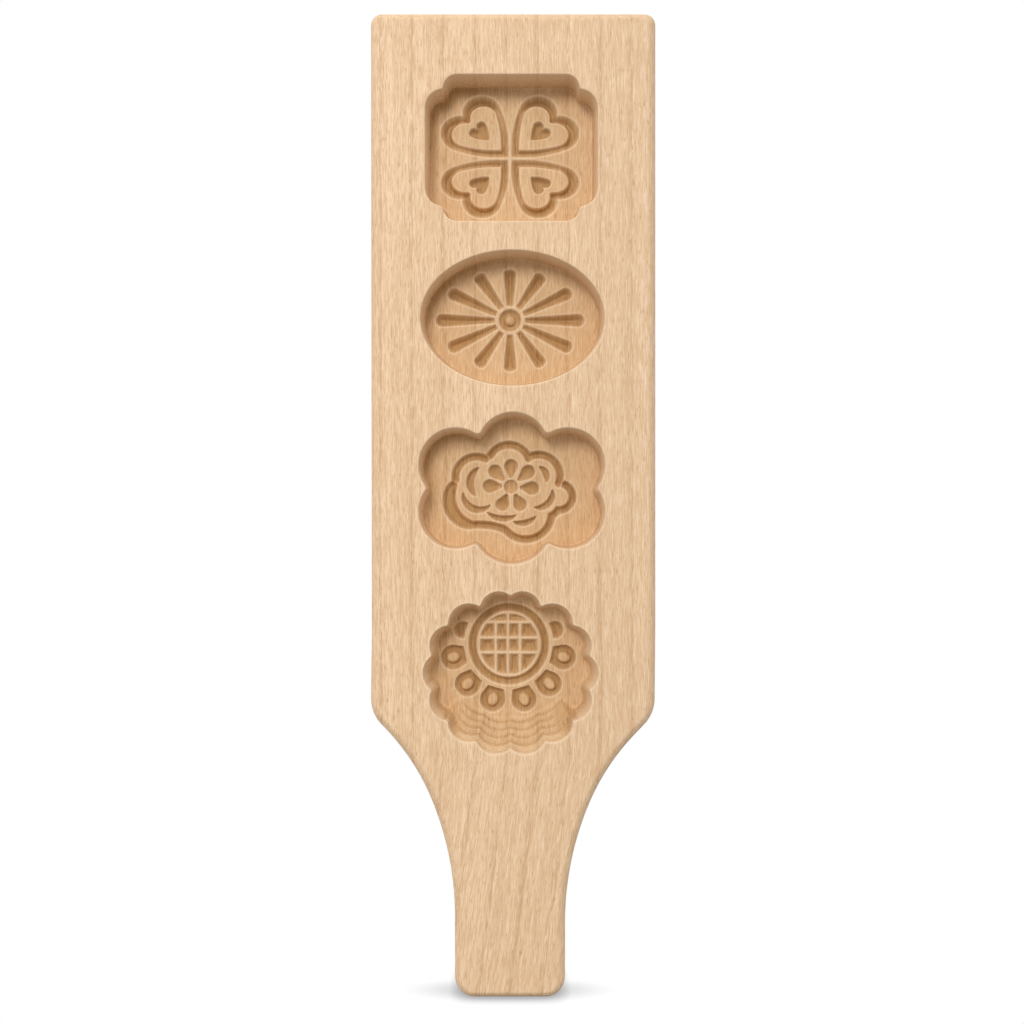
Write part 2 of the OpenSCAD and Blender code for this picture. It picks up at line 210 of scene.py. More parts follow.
def rounded_block_loop(width, height, radius, step):
    """Closed loop of points round a rectangle with round corners"""
    x, y = width / 2 - radius, height / 2 - radius
    quarters = ((x, y, 0), (-x, y, 1), (-x, -y, 2), (x, -y, 3))
    corners = [arc_points((cx, cy), radius, turn * math.pi / 2, (turn + 1) * math.pi / 2, step / 2)
               for cx, cy, turn in quarters]
    runs = []
    for here, after in zip(corners, corners[1:] + corners[:1]):
        runs += [here, line_points(here[-1], after[0], step)[1:-1]]
    return without_repeats(np.vstack(runs))


def inside(points, loop):
    """Which points lie inside a closed loop"""
    x, y = points[:, 0][:, None], points[:, 1][:, None]
    x0, y0 = loop[:, 0], loop[:, 1]
    x1, y1 = np.roll(x0, -1), np.roll(y0, -1)
    spans = (y0 > y) != (y1 > y)
    rise = np.where(y1 == y0, 1, y1 - y0)
    crossings = spans & (x < x0 + (y - y0) / rise * (x1 - x0))
    return crossings.sum(axis=1) % 2 == 1


def joined_loop(loops, step):
    """Outer loop of several overlapping loops round the origin, in order of angle, corners kept"""
    kept = []
    for i, loop in enumerate(loops):
        outer = np.ones(len(loop), bool)
        for j, other in enumerate(loops):
            if j != i:
                outer &= ~inside(loop, other)
        kept.append(np.column_stack((loop[outer], np.full(outer.sum(), i))))
    points = np.vstack(kept)
    points = points[np.argsort(np.arctan2(points[:, 1], points[:, 0]))]
    corner = (points[:, 2] != np.roll(points[:, 2], 1)) | (points[:, 2] != np.roll(points[:, 2], -1))
    picked = []
    last = None
    for point, sharp in zip(points[:, :2], corner):
        if sharp or last is None or np.linalg.norm(point - last) >= step:
            picked.append(point)
            last = point
    return without_repeats(np.array(picked), step / 6)


# Plaque of the clover mould
PLAQUE_W = 60.6
PLAQUE_H = 51.4
PLAQUE_STEP_W = 6.3
PLAQUE_STEP_H = 5.15
WIDE_CORNER_R = 6.5
TALL_CORNER_R = 4.9
PLAQUE_CUSP_R = 0.6


def plaque_rim(inset):
    """Outline of the stepped plaque, moved in by an inset; its inner corners turn round as it shrinks"""
    corner = np.array((PLAQUE_W / 2 - PLAQUE_STEP_W, PLAQUE_H / 2 - PLAQUE_STEP_H))
    blocks = ((PLAQUE_W, 2 * corner[1], WIDE_CORNER_R), (2 * corner[0], PLAQUE_H, TALL_CORNER_R))
    loops = [rounded_block_loop(w - 2 * inset, h - 2 * inset, r - inset, DRAWN_STEP) for w, h, r in blocks]
    turn_r = PLAQUE_CUSP_R + inset
    if turn_r > RIM_STEP / 4:
        turn_at = corner + PLAQUE_CUSP_R
        turn = arc_points(turn_at, turn_r, -math.pi / 2, -math.pi, DRAWN_STEP)
        back = turn_at - 2 * turn_r
        fillet = np.vstack((turn, [(back[0], turn_at[1]), back, (turn_at[0], back[1])]))
        loops += [fillet * (x, y) for x in (-1, 1) for y in (-1, 1)]
    return joined_loop(loops, RIM_STEP)


# Oval of the fluted mould
OVAL_W = 64.7
OVAL_H = 47.6


def oval_rim(inset):
    """Outline of the oval, moved in by an inset"""
    return ellipse_loop(OVAL_W / 2, OVAL_H / 2, RIM_STEP, inset)


# Lobes of the blossom mould: radii, and distances across and up from its middle
SIDE_LOBE_R = 13.05
SIDE_LOBE_ACROSS = 19.7
SIDE_LOBE_UP = 8.2
TOP_LOBE_R = 12.6
TOP_LOBE_ACROSS = 0.4
TOP_LOBE_UP = 14.2
FOOT_LOBE_R = 14.2
FOOT_LOBE_DOWN = 12.5
BLOSSOM_CUSP_R = 1.5


def lobed_loop(circles, inset, step):
    """Outline of overlapping circles set anticlockwise, moved in by an inset; its inner corners turn round"""
    circles = np.array(circles, float)
    middles, radii = circles[:, :2], circles[:, 2]
    after = np.roll(middles, -1, axis=0)
    way = after - middles
    gap = np.linalg.norm(way, axis=1)
    way /= gap[:, None]
    drawn = radii + max(0.0, -inset)
    along = (drawn ** 2 - np.roll(drawn, -1) ** 2 + gap ** 2) / (2 * gap)
    aside = np.sqrt(drawn ** 2 - along ** 2)
    corners = middles + along[:, None] * way + aside[:, None] * np.column_stack((way[:, 1], -way[:, 0]))
    runs = []
    for i, middle in enumerate(middles):
        start = heading(corners[i - 1] - middle)
        end = heading(corners[i] - middle)
        end += 2 * math.pi * (end < start)
        runs.append(arc_points(middle, radii[i] - inset, start, end, step))
        if inset > step / 4:
            first = end + math.pi
            last = heading(after[i] - corners[i])
            last -= 2 * math.pi * math.ceil((last - first) / (2 * math.pi))
            runs.append(arc_points(corners[i], inset, first, last, step)[1:-1])
    return without_repeats(np.vstack(runs), step / 6)


def blossom_rim(inset):
    """Outline of the six lobes, moved in by an inset"""
    x, y = SIDE_LOBE_ACROSS, SIDE_LOBE_UP
    side_r, top_r, foot_r = (r + BLOSSOM_CUSP_R for r in (SIDE_LOBE_R, TOP_LOBE_R, FOOT_LOBE_R))
    circles = [(x, y, side_r), (TOP_LOBE_ACROSS, TOP_LOBE_UP, top_r), (-x, y, side_r)]
    circles += [(-x, -y, side_r), (0, -FOOT_LOBE_DOWN, foot_r), (x, -y, side_r)]
    return lobed_loop(circles, inset + BLOSSOM_CUSP_R, RIM_STEP)


# Scallops of the sunflower mould
SUN_W = 61.6
SUN_H = 58.4
SCALLOPS = 14
SCALLOP_R = 7.3
SCALLOP_CUSP_R = 0.5
TOP_SCALLOP_R = 6.6
TOP_SCALLOP_ACROSS = 4.2
TOP_SCALLOP_UP = 22.05
SUN_DRAFT = math.radians(11)
SUN_FOOT_R = 1.6
SUN_FLOOR_SHARE = 0.74
SHRINK_UP = 14.5
TERRACES = 5

# The terraces go from the scallops to this smooth oval, and at the floor keep this share of the scallops
SMOOTH_INSET = 0.9
SMOOTH_HALF_W = SUN_W / 2 - SMOOTH_INSET
SMOOTH_HALF_H = SUN_H / 2 - SMOOTH_INSET
FLOOR_SCALLOP = 0.35
SCALLOP_LOSS = (1 - FLOOR_SCALLOP) / (1 - SUN_FLOOR_SHARE)


# How far down a line has to point before the wall is stepped, the risers of the steps, and how much weaker the
# painted highlight is along their edges
STEPS_START = -0.79
STEPS_FULL = -0.9
RISER_RUN = 0.08
RISER_RISE = 0.14
STEP_GUARD = 0.016
STEP_HIGHLIGHT_OFFSET = 0.5
STRIP_REACH = 3.0


def sunflower_rim(inset):
    """Scalloped outline, moved in by an inset"""
    turns = [math.pi / 2 + 2 * math.pi * (i + 0.5) / SCALLOPS for i in range(SCALLOPS)]
    spread = np.array((SUN_W / 2 - SCALLOP_R, SUN_H / 2 - SCALLOP_R))
    circles = [(*(spread * directions(turn)), SCALLOP_R + SCALLOP_CUSP_R) for turn in turns]
    for i, side in ((0, -1), (-1, 1)):
        circles[i] = (side * TOP_SCALLOP_ACROSS, TOP_SCALLOP_UP, TOP_SCALLOP_R + SCALLOP_CUSP_R)
    return lobed_loop(circles, inset + SCALLOP_CUSP_R, RIM_STEP)


def smooth_reach(unit):
    """Distance from the point that the terraces shrink to, along unit vectors, to the smooth oval"""
    square = (unit[:, 0] / SMOOTH_HALF_W) ** 2 + (unit[:, 1] / SMOOTH_HALF_H) ** 2
    slope = SHRINK_UP * unit[:, 1] / SMOOTH_HALF_H ** 2
    rest = (SHRINK_UP / SMOOTH_HALF_H) ** 2 - 1
    return (np.sqrt(slope ** 2 - square * rest) - slope) / square


def terrace_line(share):
    """Lower part of the scalloped outline at a share of its size, shrunk towards a point above its middle"""
    towards = np.array((0, SHRINK_UP))
    way = sunflower_rim(0) - towards
    reach = np.linalg.norm(way, axis=1)
    unit = way / reach[:, None]
    smooth = smooth_reach(unit)
    keep = 1 - SCALLOP_LOSS * (1 - share)
    line = towards + (share * (smooth + keep * (reach - smooth)))[:, None] * unit
    low = unit[:, 1] < STEPS_START
    first = np.argmax(low & ~np.roll(low, 1))
    return np.roll(line, -first, axis=0)[:low.sum()]


def wall_section(draft, foot_r):
    """Section of a drafted mould wall: distance in from the rim and depth, with a round rim and foot"""
    run = MOULD_DEPTH * math.tan(draft)
    steep = math.pi / 2 - draft
    rim_turns = np.linspace(0, steep, RIM_POINTS)
    rim_back = RIM_R * math.tan(steep / 2)
    rim = [(RIM_R * math.sin(t) - rim_back, RIM_R * (1 - math.cos(t))) for t in rim_turns]
    foot_turns = np.linspace(steep, 0, FOOT_POINTS)
    foot_in = run + foot_r * math.tan(steep / 2)
    foot = [(foot_in - foot_r * math.sin(t), MOULD_DEPTH - foot_r * (1 - math.cos(t))) for t in foot_turns]
    return rim + foot


def hollow_section(steps=9):
    """Section of a gouge cut, from its edge to its middle, as shares of its run and its depth"""
    soft_edge = 0.05
    shares = np.linspace(0, 1, steps)
    depths = np.sqrt(1 - (1 - shares) ** 2) * (1 - soft_edge) + shares * soft_edge
    return list(zip(shares, depths))


def vee_section(steps=7):
    """Section of a cut with a veiner: sides that stay steep almost to the middle"""
    straight = 0.65
    shares = np.linspace(0, 1, steps)
    return list(zip(shares, straight * shares + (1 - straight) * np.sin(shares * math.pi / 2)))


def new_tree(name, inputs):
    """Geometry Nodes tree with named inputs after its geometry; gives the tree, its inputs and its end node"""
    tree = bpy.data.node_groups.new(name, "GeometryNodeTree")
    tree.is_modifier = True
    for label, kind in (("Geometry", "Geometry"),) + inputs:
        tree.interface.new_socket(label, in_out="INPUT", socket_type="NodeSocket" + kind)
    tree.interface.new_socket("Geometry", in_out="OUTPUT", socket_type="NodeSocketGeometry")
    return tree, tree.nodes.new("NodeGroupInput").outputs, tree.nodes.new("NodeGroupOutput")


def add_node(tree, kind, sockets=(), **settings):
    """Adds a node, sets its properties and then its inputs, each to a value or a link"""
    node = tree.nodes.new(kind)
    for label, value in settings.items():
        setattr(node, label, value)
    for label, value in dict(sockets).items():
        if isinstance(value, bpy.types.NodeSocket):
            tree.links.new(value, node.inputs[label])
        else:
            node.inputs[label].default_value = value
    return node


def math_node(tree, operation, *values, clamp=False):
    """Adds a math node and gives its output"""
    return add_node(tree, "ShaderNodeMath", enumerate(values), operation=operation, use_clamp=clamp).outputs[0]


def vector_node(tree, operation, *values):
    """Adds a vector math node and gives its output"""
    node = add_node(tree, "ShaderNodeVectorMath", enumerate(values), operation=operation)
    return node.outputs["Value" if operation == "LENGTH" else "Vector"]


def axes_of(tree, vector):
    """Parts of a vector along the axes"""
    return add_node(tree, "ShaderNodeSeparateXYZ", {"Vector": vector}).outputs


def ramp(tree, value, low, high, first=0.0, last=1.0, interpolation="LINEAR"):
    """Goes from a first to a last number, by default 0 and 1, as a value goes from one limit to another"""
    limits = {"Value": value, "From Min": low, "From Max": high, "To Min": first, "To Max": last}
    return add_node(tree, "ShaderNodeMapRange", limits, interpolation_type=interpolation).outputs["Result"]


def attribute(tree, name):
    """Named number of each point"""
    node = add_node(tree, "GeometryNodeInputNamedAttribute", {"Name": name}, data_type="FLOAT")
    return node.outputs["Attribute"]


def position(tree):
    """Place of each point"""
    return add_node(tree, "GeometryNodeInputPosition").outputs[0]


def shape_of(tree, piece):
    """Geometry of another object"""
    node = add_node(tree, "GeometryNodeObjectInfo", {"Object": piece}, transform_space="ORIGINAL")
    return node.outputs["Geometry"]


def ray(tree, target, start, way, reach):
    """What a ray finds on a target"""
    return add_node(tree, "GeometryNodeRaycast", {"Target Geometry": target, "Source Position": start,
                                                  "Ray Direction": way, "Ray Length": reach}).outputs


def nearest(tree, target, place, element):
    """Distance of a place from the nearest edge or face of a target"""
    return add_node(tree, "GeometryNodeProximity", {"Geometry": target, "Sample Position": place},
                    target_element=element).outputs["Distance"]


def end_tree(tree, end, made, wood):
    """Ends a tree with plain geometry of a wood"""
    solid = add_node(tree, "GeometryNodeRealizeInstances", {"Geometry": made})
    finished = add_node(tree, "GeometryNodeSetMaterial", {"Geometry": solid.outputs[0], "Material": wood})
    tree.links.new(finished.outputs[0], end.inputs["Geometry"])


def section_node(tree, section, factor):
    """Float Curve that follows a section, given as points from 0,0 to 1,1"""
    node = add_node(tree, "ShaderNodeFloatCurve", {"Value": factor})
    curve = node.mapping.curves[0]
    while len(curve.points) < len(section):
        curve.points.new(0.5, 0.5)
    for point, place in zip(curve.points, section):
        point.location = place
        point.handle_type = "VECTOR"
    node.mapping.update()
    return node.outputs["Value"]


def on_face_position(tree):
    """Place of a point on the flat face, before anything was carved"""
    return vector_node(tree, "MULTIPLY_ADD", position(tree), (1, 0, 1), (0, FACE_Y * MM, 0))


# Width of the painted highlight along the edge of a cut, and how far before the face the rays start that look
# for a cutter's areas
EDGE_HIGHLIGHT_W = 0.55
RAY_START = 5.0


def finish_carving(tree, end, made, depth, edge_distance):
    """Sinks the points by a depth, marks those near an edge of the cut for a painted highlight, and ends the
    tree
    """
    offset = add_node(tree, "ShaderNodeCombineXYZ", {"Y": depth}).outputs[0]
    sunk = add_node(tree, "GeometryNodeSetPosition", {"Geometry": made, "Offset": offset}).outputs[0]
    # Painted highlight: share of paler colour near the edge of each cut
    arris = math_node(tree, "MAXIMUM", attribute(tree, "arris"), ramp(tree, edge_distance, EDGE_HIGHLIGHT_W * MM, 0.0))
    marked = add_node(tree, "GeometryNodeStoreNamedAttribute",
                      {"Geometry": sunk, "Name": "arris", "Value": arris}, data_type="FLOAT")
    end_tree(tree, end, marked.outputs[0], beech)


def carving_tree(name, section, standing=False, top_highlight=False):
    """Tree that sinks the face inside a cutter's areas, or within a half width of its lines

    Rim is how far outside its edge the cut starts, and Run how far in from there it reaches its depth.
    What is left standing in a deeper cut comes up to Depth instead, with no painted highlight or one along its
    top.
    """
    tree, start, end = new_tree(name, (("Cutter", "Object"), ("Half Width", "Float"), ("Depth", "Float"),
                                       ("Rim", "Float"), ("Run", "Float")))
    calc = partial(math_node, tree)
    shape = shape_of(tree, start["Cutter"])
    flat = on_face_position(tree)
    before_face = vector_node(tree, "SUBTRACT", flat, (0, RAY_START * MM, 0))
    on_area = ray(tree, shape, before_face, (0, 1, 0), 2 * RAY_START * MM)["Is Hit"]
    sign = calc("MULTIPLY_ADD", on_area, 2.0, -1.0)
    inward = calc("MULTIPLY_ADD", nearest(tree, shape, flat, "EDGES"), sign, start["Half Width"])
    from_rim = calc("ADD", inward, start["Rim"])
    share = calc("DIVIDE", from_rim, start["Run"], clamp=True)
    reach = start["Depth"]
    # Where the painted highlight lies: along the edge of the cut, or along the top of what is left standing
    highlight_at = inward
    if standing:
        reach = calc("SUBTRACT", reach, calc("SUBTRACT", axes_of(tree, position(tree))["Y"], FACE_Y * MM))
        highlight_at = calc("SUBTRACT", from_rim, start["Run"])
    depth = calc("MULTIPLY", section_node(tree, section, share), reach)
    edge_distance = calc("ABSOLUTE", highlight_at)
    if standing and not top_highlight:
        edge_distance = calc("ADD", edge_distance, EDGE_HIGHLIGHT_W * MM)
    finish_carving(tree, end, start["Geometry"], depth, edge_distance)
    return tree


def terrace_tree(wall, stepped):
    """Tree that sinks the face inside a scalloped rim

    The wall is drafted at the top and the sides. Below, it falls in steps along lines from the rim to a point.
    """
    tree, start, end = new_tree("cut terraces", (
        ("Rim", "Object"), ("Oval", "Object"), ("Towards", "Vector"),
        ("Depth", "Float"), ("Floor Share", "Float"), ("Run", "Float")))
    calc = partial(math_node, tree)
    rim, oval = (shape_of(tree, start[name]) for name in ("Rim", "Oval"))
    flat = on_face_position(tree)
    way = vector_node(tree, "SUBTRACT", flat, start["Towards"])
    unit = vector_node(tree, "NORMALIZE", way)
    length = vector_node(tree, "LENGTH", way)
    to_scallop, to_oval = (
        ray(tree, strip, start["Towards"], unit, 1.0)["Hit Distance"] for strip in (rim, oval))
    bulge = calc("SUBTRACT", to_scallop, to_oval)
    even = calc("MULTIPLY_ADD", bulge, 1 - SCALLOP_LOSS, to_oval)
    square = calc("MULTIPLY", calc("MULTIPLY", bulge, 4 * SCALLOP_LOSS), length)
    root = calc("SQRT", calc("MULTIPLY_ADD", even, even, square))
    share = calc("DIVIDE", calc("MULTIPLY", length, 2.0), calc("ADD", even, root))
    whole = calc("SUBTRACT", 1.0, start["Floor Share"])
    down = calc("DIVIDE", calc("SUBTRACT", 1.0, share), whole, clamp=True)
    to_rim = nearest(tree, rim, flat, "FACES")
    inward = calc("DIVIDE", to_rim, start["Run"], clamp=True)
    drafted = calc("MULTIPLY", section_node(tree, wall, inward), calc("LESS_THAN", share, 1.0))
    stepping = ramp(tree, axes_of(tree, unit)["Z"], STEPS_START, STEPS_FULL)
    terraced = section_node(tree, stepped, down)
    mixed = add_node(tree, "ShaderNodeMix", {"Factor": stepping, "A": drafted, "B": terraced})
    depth = calc("MULTIPLY", mixed.outputs["Result"], start["Depth"])
    # Distance from an edge for the painted highlight: full along the rim, weaker along the edges of the steps,
    # none elsewhere
    step = calc("MULTIPLY", down, float(TERRACES))
    off_edge = calc("ABSOLUTE", calc("SUBTRACT", step, calc("ROUND", step)))
    tread = calc("MULTIPLY", calc("DIVIDE", whole, float(TERRACES)), to_scallop)
    from_middle = calc("ABSOLUTE", calc("SUBTRACT", step, TERRACES / 2))
    off_steps = calc("GREATER_THAN", from_middle, TERRACES / 2 - 0.5)
    plain = calc("MULTIPLY", calc("SUBTRACT", 1.0, stepping), EDGE_HIGHLIGHT_W * MM)
    plain = calc("MULTIPLY_ADD", off_steps, EDGE_HIGHLIGHT_W * MM, plain)
    highlight_offset = calc("ADD", plain, STEP_HIGHLIGHT_OFFSET * EDGE_HIGHLIGHT_W * MM)
    edge_distance = calc("MINIMUM", to_rim, calc("MULTIPLY_ADD", off_edge, tread, highlight_offset))
    finish_carving(tree, end, start["Geometry"], depth, edge_distance)
    return tree


def set_out_tree():
    """Tree that sets out copies of a figure at turns about a middle, each stretched along its own length

    Spread widens the whole across and up. Points nearer the middle than Keep Clear move out to that distance.
    """
    tree, start, end = new_tree("set out round a middle", (
        ("Figure", "Object"), ("Middle", "Vector"), ("Spread", "Vector"),
        ("Keep Clear", "Float"), ("Wood", "Material")))
    turn = attribute(tree, "turn")
    spin = add_node(tree, "FunctionNodeAxisAngleToRotation", {"Axis": (0, -1, 0), "Angle": turn})
    scale = add_node(tree, "ShaderNodeCombineXYZ", {"X": attribute(tree, "stretch"), "Y": 1.0, "Z": 1.0})
    copies = add_node(tree, "GeometryNodeInstanceOnPoints",
                      {"Points": start["Geometry"], "Instance": shape_of(tree, start["Figure"]),
                       "Rotation": spin.outputs["Rotation"], "Scale": scale.outputs[0]})
    solid = add_node(tree, "GeometryNodeRealizeInstances", {"Geometry": copies.outputs[0]})
    way = vector_node(tree, "SUBTRACT", position(tree), start["Middle"])
    spread = vector_node(tree, "MULTIPLY", way, start["Spread"])
    length = vector_node(tree, "LENGTH", spread)
    push = math_node(tree, "DIVIDE", math_node(tree, "MAXIMUM", length, start["Keep Clear"]), length)
    place = vector_node(tree, "MULTIPLY_ADD", spread, push, start["Middle"])
    moved = add_node(tree, "GeometryNodeSetPosition", {"Geometry": solid.outputs[0], "Position": place})
    end_tree(tree, end, moved.outputs[0], start["Wood"])
    return tree


def set_inputs(modifier, values):
    """Sets a modifier's named inputs by their sockets' identifiers"""
    for item in modifier.node_group.interface.items_tree:
        if item.in_out == "INPUT" and item.name in values:
            modifier[item.identifier] = values[item.name]


def applied(piece, tree, values):
    """Runs a tree on a piece and puts the result in its mesh"""
    modifier = piece.modifiers.new(tree.name, "NODES")
    modifier.node_group = tree
    set_inputs(modifier, values)
    bpy.context.view_layer.update()
    made = bpy.data.meshes.new_from_object(piece.evaluated_get(bpy.context.evaluated_depsgraph_get()))
    piece.modifiers.remove(modifier)
    old = piece.data
    piece.data = made
    bpy.data.meshes.remove(old)
    return piece


def new_object(name, data):
    """Puts a mesh, lamp or camera into the scene at the origin"""
    made = bpy.data.objects.new(name, data)
    bpy.context.scene.collection.objects.link(made)
    return made


def new_piece(name, places, edges=(), faces=()):
    """Puts a new mesh into the scene"""
    mesh = bpy.data.meshes.new(name)
    mesh.from_pydata(places, edges, faces)
    return new_object(name, mesh)


def on_face(points, at=(0, 0), y=FACE_Y):
    """Points of the face, in millimetres, as places in metres"""
    points = np.asarray(points, float) + at
    return np.column_stack((points[:, 0], np.full(len(points), y), points[:, 1])) * MM


def cutter(name, at, loops=(), paths=(), y=FACE_Y):
    """Flat cutter on the face: an area for each closed loop and a line for each path"""
    places, edges, faces = [], [], []
    for loop in loops:
        faces.append(list(range(len(places), len(places) + len(loop))))
        places += list(on_face(loop, at, y))
    for path in paths:
        first = len(places)
        edges += [(first + i, first + i + 1) for i in range(len(path) - 1)]
        places += list(on_face(path, at, y))
    return new_piece(name, places, edges, faces)


def set_out(name, at, turns, loop, stretches=None, spread=(1, 1), keep_clear=0.0):
    """Cutter made of copies of a loop, drawn along the right, at turns in degrees about a middle"""
    figure = cutter(name + "_figure", (0, 0), [loop], y=0)
    middle = on_face([(0, 0)], at)[0]
    copies = new_piece(name, [middle] * len(turns))
    lengths = np.ones(len(turns)) if stretches is None else np.array(stretches)
    for label, values in (("turn", np.radians(turns)), ("stretch", lengths)):
        copies.data.attributes.new(label, "FLOAT", "POINT").data.foreach_set("value", values.astype(np.float32))
    applied(copies, setting_out, {
        "Figure": figure, "Middle": tuple(middle), "Spread": (spread[0], 1.0, spread[1]),
        "Keep Clear": keep_clear * MM, "Wood": beech})
    bpy.data.objects.remove(figure)
    return copies


def heart_loop(tip, lobe_along, lobe_aside, lobe_r, side_r, inset=0.0, step=0.3):
    """Heart along the right: a tip, two round lobes and sides that bulge on a large radius"""
    lobe = np.array((lobe_along, lobe_aside))
    start = np.array((tip, 0.0))
    span = lobe - start
    gap = np.linalg.norm(span)
    along = (side_r ** 2 - (side_r - lobe_r) ** 2 + gap ** 2) / (2 * gap)
    aside = math.sqrt(side_r ** 2 - along ** 2)
    unit = span / gap
    side_at = start + along * unit + aside * np.array((unit[1], -unit[0]))
    notch = -math.asin(lobe_aside / lobe_r)
    notch_at = (lobe_along + lobe_r * math.cos(notch), 0.0)
    lobe_r, side_r = lobe_r - inset, side_r - inset
    tip_x = side_at[0] - math.sqrt(side_r ** 2 - side_at[1] ** 2)
    first = math.atan2(-side_at[1], tip_x - side_at[0])
    meet = heading(lobe - side_at)
    upper = np.vstack((
        arc_points(side_at, side_r, first, meet, step), arc_points(lobe, lobe_r, meet, notch, step),
        arc_points(notch_at, inset, math.pi + notch, math.pi, step)))
    return without_repeats(np.vstack((upper, upper[::-1] * (1, -1))))


def teardrop_loop(root, root_half_w, reach, radius, step=0.25):
    """Drop along the right, from a root of some half width to a round end"""
    run = reach - root
    lean = math.asin(max(-1.0, min(1.0, (radius - root_half_w) / run)))
    end = arc_points((reach, 0), radius, math.pi / 2 + lean, -math.pi / 2 - lean, step)
    foot = np.array((root, root_half_w))
    upper = line_points(foot, end[0], step)
    lower = line_points(end[-1], foot * (1, -1), step)
    return without_repeats(np.vstack((upper, end, lower)))


# How soon a crescent narrows towards its ends
CRESCENT_TAPER = 0.6


def crescent_loop(start, through, end, half_w, step=0.25):
    """Crescent along the arc through three points, widest in the middle and thin at both ends"""
    a, b, c = (np.array(p, float) for p in (start, through, end))
    system = 2 * np.array((b - a, c - a))
    centre = np.linalg.solve(system, np.array((b @ b - a @ a, c @ c - a @ a)))
    turns = np.unwrap([heading(p - centre) for p in (a, b, c)])
    radius = np.linalg.norm(a - centre)
    path = arc_points(centre, radius, turns[0], turns[2], step)
    shares = np.linspace(0, 1, len(path))
    widths = half_w * np.sin(math.pi * shares)[:, None] ** CRESCENT_TAPER
    out = (path - centre) / radius
    return without_repeats(np.vstack((path + out * widths, (path - out * widths)[::-1])))


def below(loop, limit, axis, sign):
    """Part of a convex loop that lies below a limit along an axis, or above it for a negative sign"""
    kept = []
    for here, after in zip(loop, np.roll(loop, -1, axis=0)):
        a, b = sign * (limit - here[axis]), sign * (limit - after[axis])
        if a >= 0:
            kept.append(here)
        if (a >= 0) != (b >= 0):
            kept.append(here + (after - here) * a / (a - b))
    return np.array(kept)


def bezier_path(p0, p1, p2, p3, count=40):
    """Points along a cubic curve"""
    t = np.linspace(0, 1, count)[:, None]
    p0, p1, p2, p3 = (np.array(p, float) for p in (p0, p1, p2, p3))
    return (1 - t) ** 3 * p0 + 3 * (1 - t) ** 2 * t * p1 + 3 * (1 - t) * t ** 2 * p2 + t ** 3 * p3


def turn_arc(middle, radius, start, end):
    """Arc path between two angles in degrees"""
    return arc_points(middle, radius, math.radians(start), math.radians(end), FIGURE_STEP)


def stepped_wall():
    """Section of the terraced wall, from the rim to the floor"""
    tread = 1 / TERRACES
    points = []
    for i in range(TERRACES):
        points += [(i * tread, i * tread), (i * tread + RISER_RUN, i * tread + RISER_RISE)]
    return points + [(1, 1)]


def srgb(red, green, blue):
    """Linear colour of a display colour given from 0 to 255"""
    shares = [c / 255 for c in (red, green, blue)]
    return tuple(c / 12.92 if c <= 0.04045 else ((c + 0.055) / 1.055) ** 2.4 for c in shares) + (1.0,)


def new_material(name):
    """Material with an empty node tree"""
    material = bpy.data.materials.new(name)
    material.use_nodes = True
    material.node_tree.nodes.clear()
    return material, material.node_tree


def stretched_noise(tree, place, scale, detail=2.0, roughness=0.5):
    """Noise on a place scaled along each axis"""
    spread = vector_node(tree, "MULTIPLY", place, scale)
    noise = add_node(tree, "ShaderNodeTexNoise", {"Vector": spread, "Scale": 1.0, "Detail": detail,
                                                  "Roughness": roughness})
    return noise.outputs["Fac"]


def mixed_colour(tree, share, first, second, blend="MIX"):
    """Mix of two colours by a share, each a value or a link"""
    node = add_node(tree, "ShaderNodeMix", {0: share, 6: first, 7: second}, data_type="RGBA", blend_type=blend)
    return node.outputs[2]


# Beech: the slant of its figure on the handle, its wave and its growth rings, in metres
SLANT = 0.12
SLANT_TOP = 0.083
WAVE_REACH = 0.0016
RING_GAP = 0.011
RING_SHIFT = 0.15
RING_RISE = (0.8, 0.95)
RING_FALL = (1.0, 0.96)
RING_BREAKS = (0.3, 0.6)

# How often each figure of the beech comes in a metre, across, inwards and along; less often inwards in a mould
WAVES = (6.0, 6.0, 14.0)
BANDS = (170.0, 90.0, 1.2)
STREAKS = (520.0, 420.0, 16.0)
FIBRES = (2600.0, 1700.0, 200.0)
FLECKS = (2900.0, 1900.0, 330.0)
SHADES = (22.0, 22.0, 7.0)
COARSE = 0.6
SUNK_STRETCH = 0.85

# Colours of the bands, and what lies over them in turn: limits of its share, strength, way of mixing and colour
BAND_LIMITS = (0.35, 0.68)
BAND_COLOURS = ((240, 207, 170), (231, 197, 158))
BEECH_LAYERS = {
    "streaks": (0.4, 0.7, 0.4, "MIX", (222, 186, 146)),
    "shades": (0.45, 0.75, 0.25, "MIX", (226, 190, 150)),
    # Painted shade: the board darker towards its right side, away from the lamp
    "right": (-0.03, 0.06, 1.0, "MULTIPLY", (243, 243, 243)),
    "dark fibres": (0.46, 0.64, 0.72, "MIX", (212, 174, 133)),
    "pale fibres": (0.44, 0.3, 0.5, "MIX", (250, 222, 188)),
    "ring lines": (0.0, 1.0, 0.6, "MIX", (196, 156, 114)),
    "flecks": (0.6, 0.72, 0.6, "MIX", (184, 140, 98)),
    # Painted shade in the moulds, full from a few millimetres below the face
    "sunk": (0.0, 1.0, 1.0, "MULTIPLY", (238, 230, 214)),
    # Painted shade in the groove bottoms and on the terraces, and a painted shadow in the corners under the
    # upper left walls
    "painted_extra_shade": (0.0, 1.0, 1.0, "MULTIPLY", (216, 203, 176)),
    # Painted highlight: paler colour along the edges of the cuts
    "arris": (0.0, 1.0, 0.38, "MIX", (252, 228, 196)),
}

# Surface of the beech
FLECK_RELIEF = -0.5
RELIEF_STRENGTH = 0.25
RELIEF_DEPTH = 0.00025
ROUGHNESS = (0.5, 0.64)
ROUGHNESS_LIMITS = (0.3, 0.7)
GLOSS = 0.3


